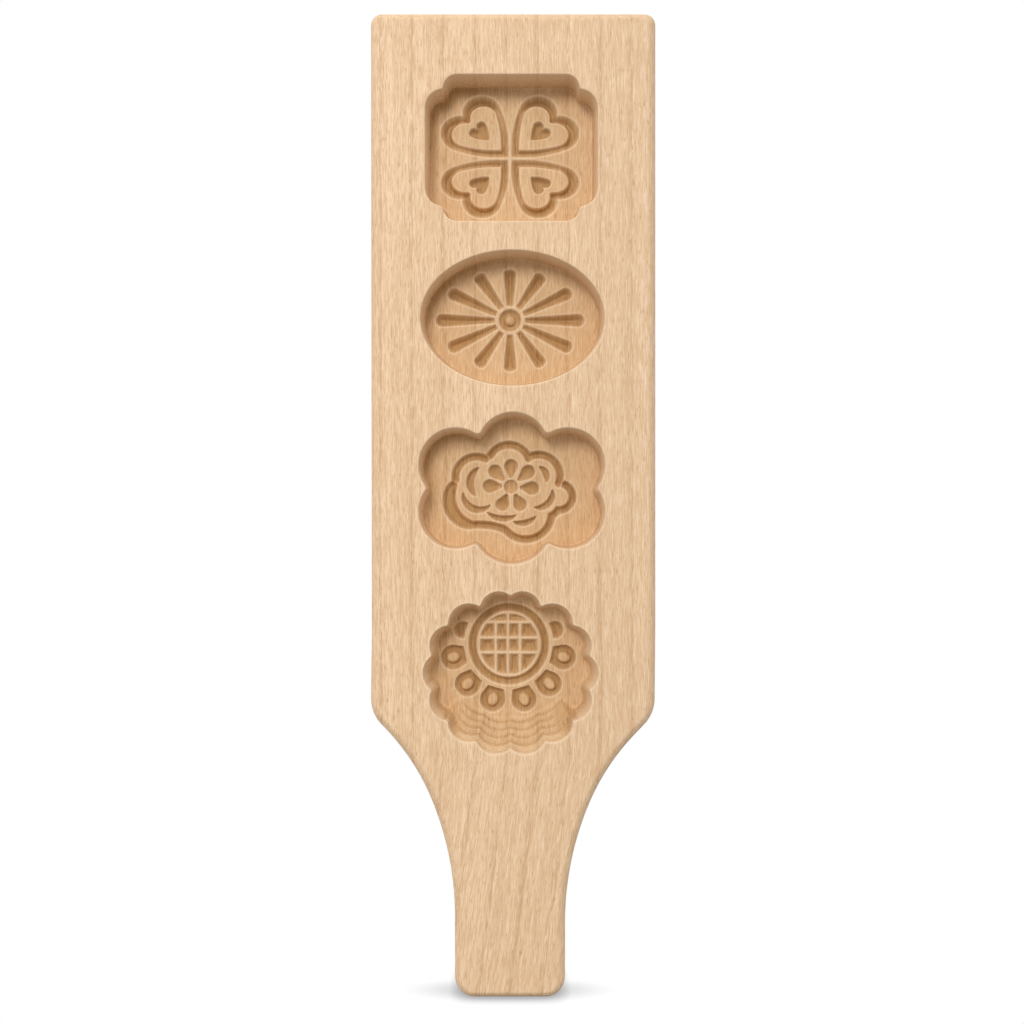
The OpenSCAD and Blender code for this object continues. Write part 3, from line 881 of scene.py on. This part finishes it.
def beech_wood():
    """Sanded beech: growth bands and streaks along the board, short dark flecks, and painted light: a highlight
    along the carved edges, shade in the moulds and the grooves, and shade towards the right
    """
    material, tree = new_material("beech")
    calc = partial(math_node, tree)
    noise = partial(stretched_noise, tree)
    figures = {name: add_node(tree, "ShaderNodeAttribute", attribute_name=name).outputs["Fac"]
               for name in ("sunk", "painted_extra_shade", "arris")}
    place = add_node(tree, "ShaderNodeTexCoord").outputs["Object"]
    axes = axes_of(tree, place)
    drop = calc("MAXIMUM", calc("SUBTRACT", SLANT_TOP, axes["Z"]), 0.0)
    slanted = calc("MULTIPLY_ADD", drop, SLANT, axes["X"])
    wave = calc("SUBTRACT", noise(place, WAVES, detail=1.0), 0.5)
    sway = calc("MULTIPLY_ADD", wave, WAVE_REACH, slanted)
    inward = calc("MULTIPLY", axes["Y"], calc("MULTIPLY_ADD", figures["sunk"], -SUNK_STRETCH, 1.0))
    grain = add_node(tree, "ShaderNodeCombineXYZ", {"X": sway, "Y": inward, "Z": axes["Z"]}).outputs[0]
    bands, streaks, fibres = (noise(grain, scale, roughness=COARSE) for scale in (BANDS, STREAKS, FIBRES))
    flecks = noise(grain, FLECKS, detail=1.0)
    ring = calc("FRACT", calc("MULTIPLY_ADD", sway, 1 / RING_GAP, RING_SHIFT))
    ring_lines = calc("MULTIPLY", ramp(tree, ring, *RING_RISE), ramp(tree, ring, *RING_FALL))
    ring_lines = calc("MULTIPLY", ring_lines, ramp(tree, fibres, *RING_BREAKS))
    figures.update({"streaks": streaks, "shades": noise(place, SHADES, detail=1.0), "right": axes["X"],
                    "dark fibres": fibres, "pale fibres": fibres, "ring lines": ring_lines, "flecks": flecks})
    colour = mixed_colour(tree, ramp(tree, bands, *BAND_LIMITS), *(srgb(*band) for band in BAND_COLOURS))
    for name, (low, high, strength, blend, tint) in BEECH_LAYERS.items():
        share = calc("MULTIPLY", ramp(tree, figures[name], low, high), strength)
        colour = mixed_colour(tree, share, colour, srgb(*tint), blend)
    bump = add_node(tree, "ShaderNodeBump", {"Height": calc("MULTIPLY_ADD", flecks, FLECK_RELIEF, fibres),
                                             "Strength": RELIEF_STRENGTH, "Distance": RELIEF_DEPTH})
    wood = add_node(tree, "ShaderNodeBsdfPrincipled",
                    {"Base Color": colour, "Roughness": ramp(tree, streaks, *ROUGHNESS_LIMITS, *ROUGHNESS),
                     "Normal": bump.outputs["Normal"], "Specular IOR Level": GLOSS})
    add_node(tree, "ShaderNodeOutputMaterial", {"Surface": wood.outputs[0]})
    return material


# Shadow on the floor: close round the handle's end, and a soft one further out
CONTACT_REACH = 0.005
CONTACT_DARK = 0.6
CONTACT_LIMITS = (0.3, 0.95)
CONTACT_SAMPLES = 24
SHADOW_AT = (-0.0013, -0.004, 0.0)
SHADOW_SPREAD = (0.04, 0.0105, 1.0)
SHADOW_DARK = 0.68
SHADOW_LIMITS = (0.3, 1.0)
FLOOR_GREY = (0.35, 0.35, 0.35, 1.0)


def seen_rays(tree):
    """Whether a ray comes from the camera, straight or by a shiny or clear surface"""
    path = add_node(tree, "ShaderNodeLightPath").outputs
    seen = math_node(tree, "MAXIMUM", path["Is Camera Ray"], path["Is Glossy Ray"])
    return math_node(tree, "MAXIMUM", seen, path["Is Transmission Ray"])


def white_floor():
    """White floor: it keeps the shadow where the object stands, and is white to the camera elsewhere"""
    material, tree = new_material("white_floor")
    shade = add_node(tree, "ShaderNodeAmbientOcclusion", {"Distance": CONTACT_REACH}, samples=CONTACT_SAMPLES)
    contact = ramp(tree, shade.outputs["AO"], *CONTACT_LIMITS, CONTACT_DARK, 1.0)
    place = add_node(tree, "ShaderNodeTexCoord").outputs["Object"]
    shares = vector_node(tree, "DIVIDE", vector_node(tree, "SUBTRACT", place, SHADOW_AT), SHADOW_SPREAD)
    soft = ramp(tree, vector_node(tree, "LENGTH", shares), *SHADOW_LIMITS, SHADOW_DARK, 1.0, "SMOOTHSTEP")
    shown = add_node(tree, "ShaderNodeEmission", {"Strength": math_node(tree, "MULTIPLY", contact, soft)})
    lit = add_node(tree, "ShaderNodeBsdfDiffuse", {"Color": FLOOR_GREY})
    mix = add_node(tree, "ShaderNodeMixShader", {0: seen_rays(tree), 1: lit.outputs[0], 2: shown.outputs[0]})
    add_node(tree, "ShaderNodeOutputMaterial", {"Surface": mix.outputs[0]})
    return material


beech = beech_wood()
setting_out = set_out_tree()
wall_points = wall_section(WALL_DRAFT, FOOT_R)
RIM_OUT = -wall_points[0][0]
WALL_RUN = wall_points[-1][0] + RIM_OUT
wall_shares = [((s + RIM_OUT) / WALL_RUN, d / MOULD_DEPTH) for s, d in wall_points]
cut_wall = carving_tree("cut drafted wall", wall_shares)
cut_hollow = carving_tree("cut with a gouge", hollow_section())
cut_slope = carving_tree("cut with a knife", [(0, 0), (1, 1)])
cut_vee = carving_tree("cut with a veiner", vee_section())
leave_heart = carving_tree("leave a heart standing", [(0, 0), (1, 1)], standing=True, top_highlight=True)
leave_bead = carving_tree("leave a bead standing", hollow_section(), standing=True)
figure_trees = (cut_hollow, cut_slope, cut_vee, leave_heart, leave_bead)
inner_wall = [(s, d) for s, d in wall_section(SUN_DRAFT, SUN_FOOT_R) if s > 0]
SUN_RUN = inner_wall[-1][0]
cut_terraces = terrace_tree([(0, 0)] + [(s / SUN_RUN, d / MOULD_DEPTH) for s, d in inner_wall], stepped_wall())

# Moulds: middle, rim, run of the wall, its insets, and half the box that the figures lie in
WALL_INSETS = [s for s, _ in wall_points]
SUN_INSETS = [0.0] + [s for s, _ in inner_wall]
MOULDS = (
    (CLOVER_AT, plaque_rim, WALL_RUN, WALL_INSETS, 31),
    (OVAL_AT, oval_rim, WALL_RUN, WALL_INSETS, 33),
    (BLOSSOM_AT, blossom_rim, WALL_RUN, WALL_INSETS, 34),
    (SUNFLOWER_AT, sunflower_rim, SUN_RUN, SUN_INSETS, 32),
)

# Middles of the carved figures from the middles of their moulds
CLOVER_FIGURE_AT = np.array(CLOVER_AT) + (-0.5, -0.75)
FLUTES_AT = np.array(OVAL_AT) + (-0.87, 0.55)
FLOWER_AT = np.array(BLOSSOM_AT) + (-0.3, 0.2 + BLOSSOM_LEAN)
DISC_AT = np.array(SUNFLOWER_AT) + (-0.66, 8.25 + SUN_LEAN)
SEEDS_ROUND = DISC_AT + (-0.15, -0.5)

# Clover: leaves, the heart left standing in each and the small heart in that; across and up spreads
UPPER_LEAVES = ((45, 135), (1.056, 0.955))
LOWER_LEAVES = ((225, 315), (1.056, 0.905))
LEAF = {"tip": 0.6, "lobe_along": 18.9, "lobe_aside": 5.3, "lobe_r": 6.8, "side_r": 40.0}
LEAF_DEPTH = 2.6
LEAF_SLOPE_RUN = 2.2
ISLAND = {"tip": 3.2, "lobe_along": 17.3, "lobe_aside": 4.5, "lobe_r": 5.5, "side_r": 40.0}
ISLAND_RUN = 1.2
SMALL_HEART = {"tip": 10.0, "lobe_along": 15.6, "lobe_aside": 1.75, "lobe_r": 1.85, "side_r": 14.0}
HEART_DEPTH = 2.5
HEART_RUN = 1.7

# Flutes of the oval
FLUTES = 12
FLUTE_REACH_W = 27.1
FLUTE_REACH_H = 18.7
FLUTE_FLATTEN = 0.81
FLUTE_R = 2.5
FLUTE_ROOT = 5.2
FLUTE_ROOT_HALF_W = 1.15
FLUTE_RUN = 2.0
FLUTE_DEPTH = 2.7
DISH_R = 4.1
DISH_DEPTH = 2.3
DISH_RUN = 2.2
BEAD_R = 2.1
BEAD_DROP = 0.5

# Blossom: the cloud line, the curls inside it and the flower
CLOUD_ARCS = (
    ((-12.5, 3.3), 7.6, 186, 64),
    ((-0.8, 7.5), 7.7, 151, 21),
    ((10.0, 3.9), 7.7, 113, -20),
    ((17.4, -3.6), 4.8, 66, -95),
    ((5.3, -9.7), 9.3, -5, -135),
)
CLOUD_BEND = ((-1.28, -16.28), (-3.5, -14.0), (-10.3, -13.4), (-14.2, -13.8))
CLOUD_TAIL = ((17.0, -8.4), (16.6, -9.0), (15.8, -9.9), (14.6, -10.5))
CLOUD_SWELL = ((-14.2, -13.8), (-21.7, -7.9), (-20.8, 0.8), 1.1)
CLOUD_HALF_W = 1.65
CLOUD_DEPTH = 2.7
CURLS = (
    ((-11.3, 7.0), (-14.7, 2.4), (-12.6, -3.5), 1.5),
    ((-17.2, -1.8), (-13.1, -8.1), (-7.3, -6.4), 1.45),
    ((-8.7, -9.1), (-3.2, -11.5), (2.2, -10.1), 1.25),
    ((0.5, -12.5), (5.2, -13.0), (9.2, -10.4), 1.25),
    ((8.0, -7.3), (13.3, -6.2), (14.8, -0.7), 1.4),
    ((9.9, 7.3), (12.7, 4.6), (12.6, 1.3), 1.3),
)
CURL_DEPTH = 2.3
CURL_RUN = 1.4
PETAL_TURNS = (90, 136, 178, 244, 297, 356, 41)
PETAL_STRETCHES = (1, 1.05, 1.02, 0.95, 0.96, 1.02, 1.08)
PETAL_ROOT = 3.0
PETAL_ROOT_HALF_W = 0.5
PETAL_REACH = 7.5
PETAL_R = 2.6
PETAL_DEPTH = 2.5
PETAL_RUN = 2.4
EYE_R = 2.7
EYE_DEPTH = 1.8
EYE_RUN = 2.0

# Sunflower: the latticed disc and its petals with seeds
DISC_HALF_W = 10.8
DISC_HALF_H = 11.3
LATTICE_ACROSS = (-4.7, -0.3, 4.1)
LATTICE_UP = (-3.15, 2.2, 7.8)
LATTICE_BAR = 0.55
PIT_DEPTH = 2.4
PIT_RUN = 1.8
RING_GROOVE = (13.1, 13.4)
RING_GROOVE_HALF_W = 1.65
RING_GROOVE_DEPTH = 2.5
SEED_TURNS = [turn - 90 for turn in (-77.6, -46.5, -16.2, 16.2, 46.5, 77.6)]
SEED_AT = 20.4
SEED_PETAL_R = 4.6
SEED_PETAL_ROOT = 13.0
SEED_PETAL_ROOT_HALF_W = 2.0
SEED_PETAL_DEPTH = 2.6
SEED_PETAL_RUN = 2.0
SEED_HALF_L = 2.8
SEED_HALF_W = 2.2
SEED_DROP = 0.2
SEED_RUN = 1.3
SEED_STEP = 0.25
RING_CLEAR = 16.0
HALF_PETAL_TURNS = (17, 163)
HALF_PETAL_AT = 17.4
HALF_PETAL_R = 3.4
HALF_PETAL_RUN = 1.8


def lattice_loops():
    """Pits between the lattice bars; the two outer upright bars stop at the top one"""
    disc = ellipse_loop(DISC_HALF_W, DISC_HALF_H, FIGURE_STEP)
    loops = []
    rows = list(zip((-DISC_HALF_H,) + LATTICE_UP, LATTICE_UP + (DISC_HALF_H,)))
    for low, high in rows:
        uprights = LATTICE_ACROSS[1:2] if high == DISC_HALF_H else LATTICE_ACROSS
        for left, right in zip((-DISC_HALF_W,) + uprights, uprights + (DISC_HALF_W,)):
            pit = disc
            for limit, axis, sign in ((right, 0, 1), (left, 0, -1), (high, 1, 1), (low, 1, -1)):
                if len(pit):
                    pit = below(pit, limit - sign * LATTICE_BAR / 2, axis, sign)
            if len(pit):
                loops.append(without_repeats(pit))
    return loops


def closed(loop):
    """A loop as a path that comes back to its first point"""
    return np.vstack((loop, loop[:1]))


flute_angles = [math.radians(360 * i / FLUTES) for i in range(FLUTES)]
flute_turns = [math.atan2(FLUTE_FLATTEN * math.sin(a), math.cos(a)) for a in flute_angles]
flute_stretches = [1 / math.hypot(math.cos(t), math.sin(t) * FLUTE_REACH_W / FLUTE_REACH_H)
                   for t in flute_turns]
cloud_paths = [turn_arc(*arc) for arc in CLOUD_ARCS] + [bezier_path(*CLOUD_BEND), bezier_path(*CLOUD_TAIL)]

# Cuts in order: cutter, tree, half width, depth, and how far from the rim the cut reaches its depth
cuts = [(cutter("plaque", CLOVER_AT, [plaque_rim(0)]), cut_wall, 0, MOULD_DEPTH, WALL_RUN)]
for leaf_turns, leaf_spread in (UPPER_LEAVES, LOWER_LEAVES):
    leaves, islands, hearts = (
        set_out(name, CLOVER_FIGURE_AT, leaf_turns, heart_loop(**sizes), spread=leaf_spread)
        for name, sizes in (("leaves", LEAF), ("islands", ISLAND), ("small_hearts", SMALL_HEART)))
    cuts += [
        (leaves, cut_slope, 0, LEAF_DEPTH, LEAF_SLOPE_RUN),
        (islands, leave_heart, 0, MOULD_DEPTH, ISLAND_RUN),
        (hearts, cut_hollow, 0, HEART_DEPTH, HEART_RUN),
    ]
cuts += [
    (cutter("oval", OVAL_AT, [oval_rim(0)]), cut_wall, 0, MOULD_DEPTH, WALL_RUN),
    (set_out("flutes", FLUTES_AT, np.degrees(flute_turns),
             teardrop_loop(FLUTE_ROOT, FLUTE_ROOT_HALF_W, FLUTE_REACH_W - FLUTE_R, FLUTE_R),
             stretches=flute_stretches, keep_clear=FLUTE_ROOT), cut_vee, 0, FLUTE_DEPTH, FLUTE_RUN),
    (cutter("dish", FLUTES_AT, [circle_loop(DISH_R)]), cut_hollow, 0, DISH_DEPTH, DISH_RUN),
    (cutter("bead", FLUTES_AT, [circle_loop(BEAD_R)]), leave_bead, 0, MOULD_DEPTH + BEAD_DROP, BEAD_R),
    (cutter("blossom", BLOSSOM_AT, [blossom_rim(0)]), cut_wall, 0, MOULD_DEPTH, WALL_RUN),
    (cutter("cloud", FLOWER_AT, [crescent_loop(*CLOUD_SWELL)], cloud_paths), cut_vee,
     CLOUD_HALF_W, CLOUD_DEPTH, CLOUD_HALF_W),
    (cutter("curls", FLOWER_AT, [crescent_loop(*curl) for curl in CURLS]), cut_hollow, 0, CURL_DEPTH, CURL_RUN),
    (set_out("petals", FLOWER_AT, PETAL_TURNS,
             teardrop_loop(PETAL_ROOT, PETAL_ROOT_HALF_W, PETAL_REACH, PETAL_R),
             stretches=PETAL_STRETCHES), cut_hollow, 0, PETAL_DEPTH, PETAL_RUN),
    (cutter("eye", FLOWER_AT, [circle_loop(EYE_R)]), cut_hollow, 0, EYE_DEPTH, EYE_RUN),
    (cutter("disc_ring", DISC_AT, paths=[closed(ellipse_loop(*RING_GROOVE, FIGURE_STEP))]), cut_vee,
     RING_GROOVE_HALF_W, RING_GROOVE_DEPTH, RING_GROOVE_HALF_W),
    (cutter("lattice", DISC_AT, lattice_loops()), cut_vee, 0, PIT_DEPTH, PIT_RUN),
    (set_out("seed_petals", SEEDS_ROUND, SEED_TURNS,
             teardrop_loop(SEED_PETAL_ROOT, SEED_PETAL_ROOT_HALF_W, SEED_AT, SEED_PETAL_R),
             keep_clear=RING_CLEAR), cut_hollow, 0, SEED_PETAL_DEPTH, SEED_PETAL_RUN),
    (set_out("half_petals", DISC_AT, HALF_PETAL_TURNS, circle_loop(HALF_PETAL_R, (HALF_PETAL_AT, 0)),
             keep_clear=RING_CLEAR), cut_vee, 0, SEED_PETAL_DEPTH, HALF_PETAL_RUN),
    (set_out("seeds", SEEDS_ROUND, SEED_TURNS,
             ellipse_loop(SEED_HALF_L, SEED_HALF_W, SEED_STEP) + (SEED_AT, 0)),
     leave_bead, 0, MOULD_DEPTH + SEED_DROP, SEED_RUN),
]


def upright_strip(name, loop):
    """Upright strip along a loop round the sunflower's middle, for lines that run out to it"""
    count = len(loop)
    places = np.vstack([on_face(loop, SUNFLOWER_AT, FACE_Y + side * STRIP_REACH) for side in (-1, 1)])
    faces = [(i, (i + 1) % count, (i + 1) % count + count, i + count) for i in range(count)]
    return new_piece(name, places, faces=faces)


def rim_loops():
    """Loops that the face's triangles follow along each wall, from outside its rim to its floor"""
    loops = []
    for at, rim, _, insets, _ in MOULDS:
        first, last = insets[0], insets[-1]
        guarded = [first - 2 * GUARD, first - GUARD / 2] + insets + [last + GUARD / 2, last + 2 * GUARD]
        loops += [rim(inset) + at for inset in guarded]
    return loops


def terrace_lines():
    """Lines along the edges of the terraces, each with one close by on both sides"""
    places = [x + side * STEP_GUARD for x, _ in stepped_wall() for side in (-1, 0, 1)]
    return [terrace_line(1 - x * (1 - SUN_FLOOR_SHARE)) + SUNFLOWER_AT for x in places if x > STEP_GUARD]


def hex_points(low, high, step):
    """Points of a triangular pattern that fills a box"""
    rows = np.arange(low[1], high[1], step * math.sqrt(3) / 2)
    columns = np.arange(low[0], high[0], step)
    grid = [np.column_stack((columns + (i % 2) * step / 2, np.full(len(columns), y)))
            for i, y in enumerate(rows)]
    return np.vstack(grid)


def points_within(loop, step):
    """Points of a triangular pattern inside a loop"""
    points = hex_points(loop.min(axis=0), loop.max(axis=0), step)
    return points[inside(points, loop)]


def near_tree(points):
    """Search tree of flat points"""
    tree = kdtree.KDTree(len(points))
    for i, (x, y) in enumerate(points):
        tree.insert((x, y, 0), i)
    tree.balance()
    return tree


def distances(points, tree):
    """Distance of each flat point from the nearest point of a search tree"""
    return np.array([tree.find((x, y, 0))[2] for x, y in points])


def cutter_points():
    """Points along the edges of all the carved figures, but not of the mould walls"""
    found = []
    for piece, tree, *_ in cuts:
        if tree not in figure_trees:
            continue
        places = np.array([v.co for v in piece.data.vertices])[:, (0, 2)] / MM
        for edge in piece.data.edges:
            found.append(line_points(places[edge.vertices[0]], places[edge.vertices[1]], FINE_STEP))
    return np.vstack(found)


def flat_face(boundary, loops, lines, fill):
    """Triangles inside a closed boundary, along all the loops and lines and through the fill points"""
    edges = []
    count = len(boundary)
    for line, gaps in [(loop, 0) for loop in loops] + [(line, 1) for line in lines]:
        edges += [(count + i, count + (i + 1) % len(line)) for i in range(len(line) - gaps)]
        count += len(line)
    places = [Vector(p) for p in np.vstack([boundary] + loops + lines + [fill])]
    made = geometry.delaunay_2d_cdt(places, edges, [list(range(len(boundary)))], 1, SAME_POINT, True)
    kept = [tuple(face) for face, origin in zip(made[2], made[5]) if origin]
    return np.array([tuple(p) for p in made[0]]), kept


def fill_points(boundary, loops, lines):
    """Fine points along the carved edges, coarser ones on the mould floors, and few on the plain face"""
    walls = [line_points(a, b, RIM_STEP) for loop in loops for a, b in zip(loop, np.roll(loop, -1, axis=0))]
    walls = near_tree(np.vstack(walls + lines))
    carved = near_tree(cutter_points())
    fine, coarse = [], []
    for at, rim, run, _, half in MOULDS:
        points = hex_points(np.array(at) - half, np.array(at) + half, FINE_STEP)
        fine.append(points[distances(points, carved) < FINE_REACH])
        coarse.append(points_within(rim(run) + at, FLOOR_STEP))
    fine = np.vstack(fine)
    fine = fine[distances(fine, walls) > FINE_STEP / 2]
    plain = points_within(boundary, PLAIN_STEP)
    plain = plain[distances(plain, near_tree(boundary)) > PLAIN_STEP / 2]
    coarse = np.vstack(coarse + [plain])
    clear = (distances(coarse, walls) > FLOOR_STEP / 2) & (distances(coarse, carved) > FINE_REACH)
    return np.vstack((fine, coarse[clear]))


# Depths below the face, and of a groove below the mould floor, at which the painted shade in the moulds and in
# the grooves is full
TINT_DEPTH = 4.0
GROOVE_DEPTH = 2.5

# Painted shadow in the moulds: its reach from a wall's foot, its shares of the groove's painted shade, and
# where it lies
WALL_SHADE_REACH = 3.0
WALL_SHADE_SHARE = 1.0
STEP_SHADE = 0.3
SHADED_WAY = (-0.8, 0.6)
SHADED_LIMITS = (0.45, 0.95)
TERRACES_BELOW = -0.25


def share_between(value, none, full):
    """Share from 0 to 1 of the way from one limit to another"""
    return min(1.0, max(0.0, (value - none) / (full - none)))


def rim_search():
    """Search tree of points along the rims, with each one's wall run, mould middle and half sizes"""
    points, walls = [], []
    for at, rim, run, *_ in MOULDS:
        loop = rim(0)
        points.append(loop + at)
        walls += [(run, at, loop.max(axis=0))] * len(loop)
    return near_tree(np.vstack(points)), walls


def painted_wall_shade(x, z, depth, search, walls):
    """Share of painted shade at a place in a mould: a painted shadow in the corner under its upper left wall,
    and painted shade on the terraces
    """
    _, found, gap = search.find((x, z, 0))
    run, middle, half = walls[found]
    aside, up = (x - middle[0]) / half[0], (z - middle[1]) / half[1]
    if depth < MOULD_DEPTH - GUARD:
        return STEP_SHADE * (middle == SUNFLOWER_AT and up < TERRACES_BELOW)
    shaded = share_between(aside * SHADED_WAY[0] + up * SHADED_WAY[1], *SHADED_LIMITS)
    return WALL_SHADE_SHARE * shaded * share_between(gap - run, WALL_SHADE_REACH, 0)


def lean_moulds(mesh):
    """Moves the lower parts of the blossom and the sunflower down, so that more of their upper walls shows"""
    places = np.empty(3 * len(mesh.vertices))
    mesh.vertices.foreach_get("co", places)
    places = places.reshape(-1, 3)
    share = np.minimum((places[:, 1] / MM - FACE_Y) / MOULD_DEPTH, 1)
    half_h = {BLOSSOM_AT: TOP_LOBE_UP + TOP_LOBE_R, SUNFLOWER_AT: SUN_H / 2}
    for at, lean in ((BLOSSOM_AT, BLOSSOM_LEAN), (SUNFLOWER_AT, SUN_LEAN)):
        near = np.abs(places[:, 2] / MM - at[1]) < half_h[at] + GUARD
        places[near, 2] -= (share * lean * MM)[near]
    mesh.vertices.foreach_set("co", places.ravel())


def carved_face(front, guard):
    """The face with all its cuts, up to where the board's edge starts to turn"""
    loops = rim_loops()
    lines = terrace_lines()
    places, triangles = flat_face(front, loops + [guard], lines, fill_points(guard, loops, lines))
    face = new_piece("carved_face", on_face(places), faces=triangles)
    # Share of painted highlight along the edges of the cuts, filled in by the cuts
    face.data.attributes.new("arris", "FLOAT", "POINT")
    strips = [upright_strip("sunflower_rim", sunflower_rim(0)),
              upright_strip("smooth_oval", ellipse_loop(SMOOTH_HALF_W, SMOOTH_HALF_H, RIM_STEP))]
    towards = on_face([(0, SHRINK_UP)], SUNFLOWER_AT)[0]
    applied(face, cut_terraces, {
        "Rim": strips[0], "Oval": strips[1], "Towards": tuple(towards), "Depth": MOULD_DEPTH * MM,
        "Floor Share": SUN_FLOOR_SHARE, "Run": SUN_RUN * MM})
    for piece, tree, half_w, depth, run in cuts:
        rim = RIM_OUT if tree is cut_wall else 0
        applied(face, tree, {"Cutter": piece, "Half Width": half_w * MM, "Depth": depth * MM,
                             "Rim": rim * MM, "Run": run * MM})
    lean_moulds(face.data)
    for piece in strips + [cut[0] for cut in cuts]:
        bpy.data.objects.remove(piece)
    return face


def mark_depths(shell):
    """Notes at each point of the carved face how far it lies in a mould or a groove, for the painted shade in
    the wood's colour: in the moulds, in the grooves, in the corners under the upper left walls and on the
    terraces
    """
    sunk_layer = shell.verts.layers.float.new("sunk")
    painted_extra_shade_layer = shell.verts.layers.float.new("painted_extra_shade")
    search, walls = rim_search()
    for vert in shell.verts:
        depth = vert.co.y / MM - FACE_Y
        if depth > EDGE_R / 2:
            # Painted shade in the moulds, fuller with depth
            vert[sunk_layer] = min(1.0, depth / TINT_DEPTH)
            # Painted shadow in the corners under the upper left walls, painted shade on the terraces and in the
            # groove bottoms
            corner = painted_wall_shade(vert.co.x / MM, vert.co.z / MM, depth, search, walls)
            vert[painted_extra_shade_layer] = max(corner, share_between(depth, MOULD_DEPTH, MOULD_DEPTH + GROOVE_DEPTH))


def carved_board():
    """The whole board as one closed mesh"""
    outline, out = board_outline()
    turns = np.linspace(0, math.pi / 2, EDGE_STEPS)
    edge = [(EDGE_R * (1 - math.sin(t) ** EDGE_POWER), EDGE_R * (1 - math.cos(t) ** EDGE_POWER)) for t in turns]
    front = outline - out * EDGE_R
    guard = outline - out * (EDGE_R + GUARD)
    face = carved_face(front, guard)
    shell = bmesh.new()
    shell.from_mesh(face.data)
    bpy.data.objects.remove(face)
    mark_depths(shell)
    rings = [(inset, FACE_Y + drop) for inset, drop in edge]
    rings += [(inset, BACK_Y - drop) for inset, drop in edge[::-1]]
    verts = [[shell.verts.new(p) for p in on_face(outline - out * inset, y=y)] for inset, y in rings]
    count = len(outline)
    for here, after in zip(verts, verts[1:]):
        for i in range(count):
            j = (i + 1) % count
            shell.faces.new((here[i], after[i], after[j], here[j]))
    fill = hex_points(front.min(axis=0), front.max(axis=0), PLAIN_STEP)
    places, triangles = flat_face(front, [guard], [], fill[inside(fill, guard)])
    back = [shell.verts.new(p) for p in on_face(places, y=BACK_Y)]
    for a, b, c in triangles:
        shell.faces.new((back[a], back[c], back[b]))
    bmesh.ops.remove_doubles(shell, verts=shell.verts, dist=SAME_PLACE)
    bmesh.ops.recalc_face_normals(shell, faces=shell.faces)
    for facet in shell.faces:
        facet.smooth = True
    made = bpy.data.meshes.new("mold_board_carved")
    shell.to_mesh(made)
    shell.free()
    made.materials.append(beech)
    return new_object("mold_board_carved", made)


board = carved_board()
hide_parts("mold_board")
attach(board, "root")

FLOOR_REACH = 6.0
floor_corners = [(x * FLOOR_REACH, y * FLOOR_REACH, 0) for x, y in ((-1, -1), (1, -1), (1, 1), (-1, 1))]
floor = new_piece("floor", floor_corners, faces=[(0, 1, 2, 3)])
floor.data.materials.append(white_floor())

# Light: a soft lamp from the upper left and an even, pale surrounding
AMBIENT = 0.83
WHITE = (1.0, 1.0, 1.0, 1.0)
KEY_AT = Vector((-0.64, -2.78, 1.63))
KEY_SIZE = 1.0
KEY_POWER = 48.9
BOARD_MIDDLE = (cad_box[0] + cad_box[1]) / 2

world = bpy.data.worlds.new("studio")
bpy.context.scene.world = world
world.use_nodes = True
sky = world.node_tree
sky.nodes.clear()
sky_level = ramp(sky, seen_rays(sky), 0.0, 1.0, AMBIENT, 1.0)
sky_light = add_node(sky, "ShaderNodeBackground", {"Color": WHITE, "Strength": sky_level})
add_node(sky, "ShaderNodeOutputWorld", {"Surface": sky_light.outputs[0]})

key_data = bpy.data.lights.new("key", "AREA")
key_data.energy = KEY_POWER
key_data.size = KEY_SIZE
key = new_object("key", key_data)
key.location = KEY_AT
key.rotation_euler = (BOARD_MIDDLE - KEY_AT).to_track_quat("-Z", "Y").to_euler()

# Camera: straight in front of the face, as far off as the parallax of the mould floors says
FRAME_PX = 1024
FACE_MM_PER_PX = 0.3502
CAMERA_DISTANCE = 390.0
AXIS_DOWN_PX = 460.0
CAMERA_X = -0.3
CAMERA_Z = 189.06
SENSOR_W = 36.0
NEAR_CLIP = 0.01

camera_data = bpy.data.cameras.new("camera")
camera = new_object("camera", camera_data)
bpy.context.scene.camera = camera
camera_data.sensor_width = SENSOR_W
camera_data.lens = SENSOR_W * CAMERA_DISTANCE / (FRAME_PX * FACE_MM_PER_PX)
camera_data.shift_y = (AXIS_DOWN_PX - FRAME_PX / 2) / FRAME_PX
camera.location = (CAMERA_X * MM, (FACE_Y - CAMERA_DISTANCE) * MM, CAMERA_Z * MM)
camera.rotation_euler = (math.pi / 2, 0, 0)
camera_data.clip_start = NEAR_CLIP

bpy.context.scene.view_settings.view_transform = "Standard"
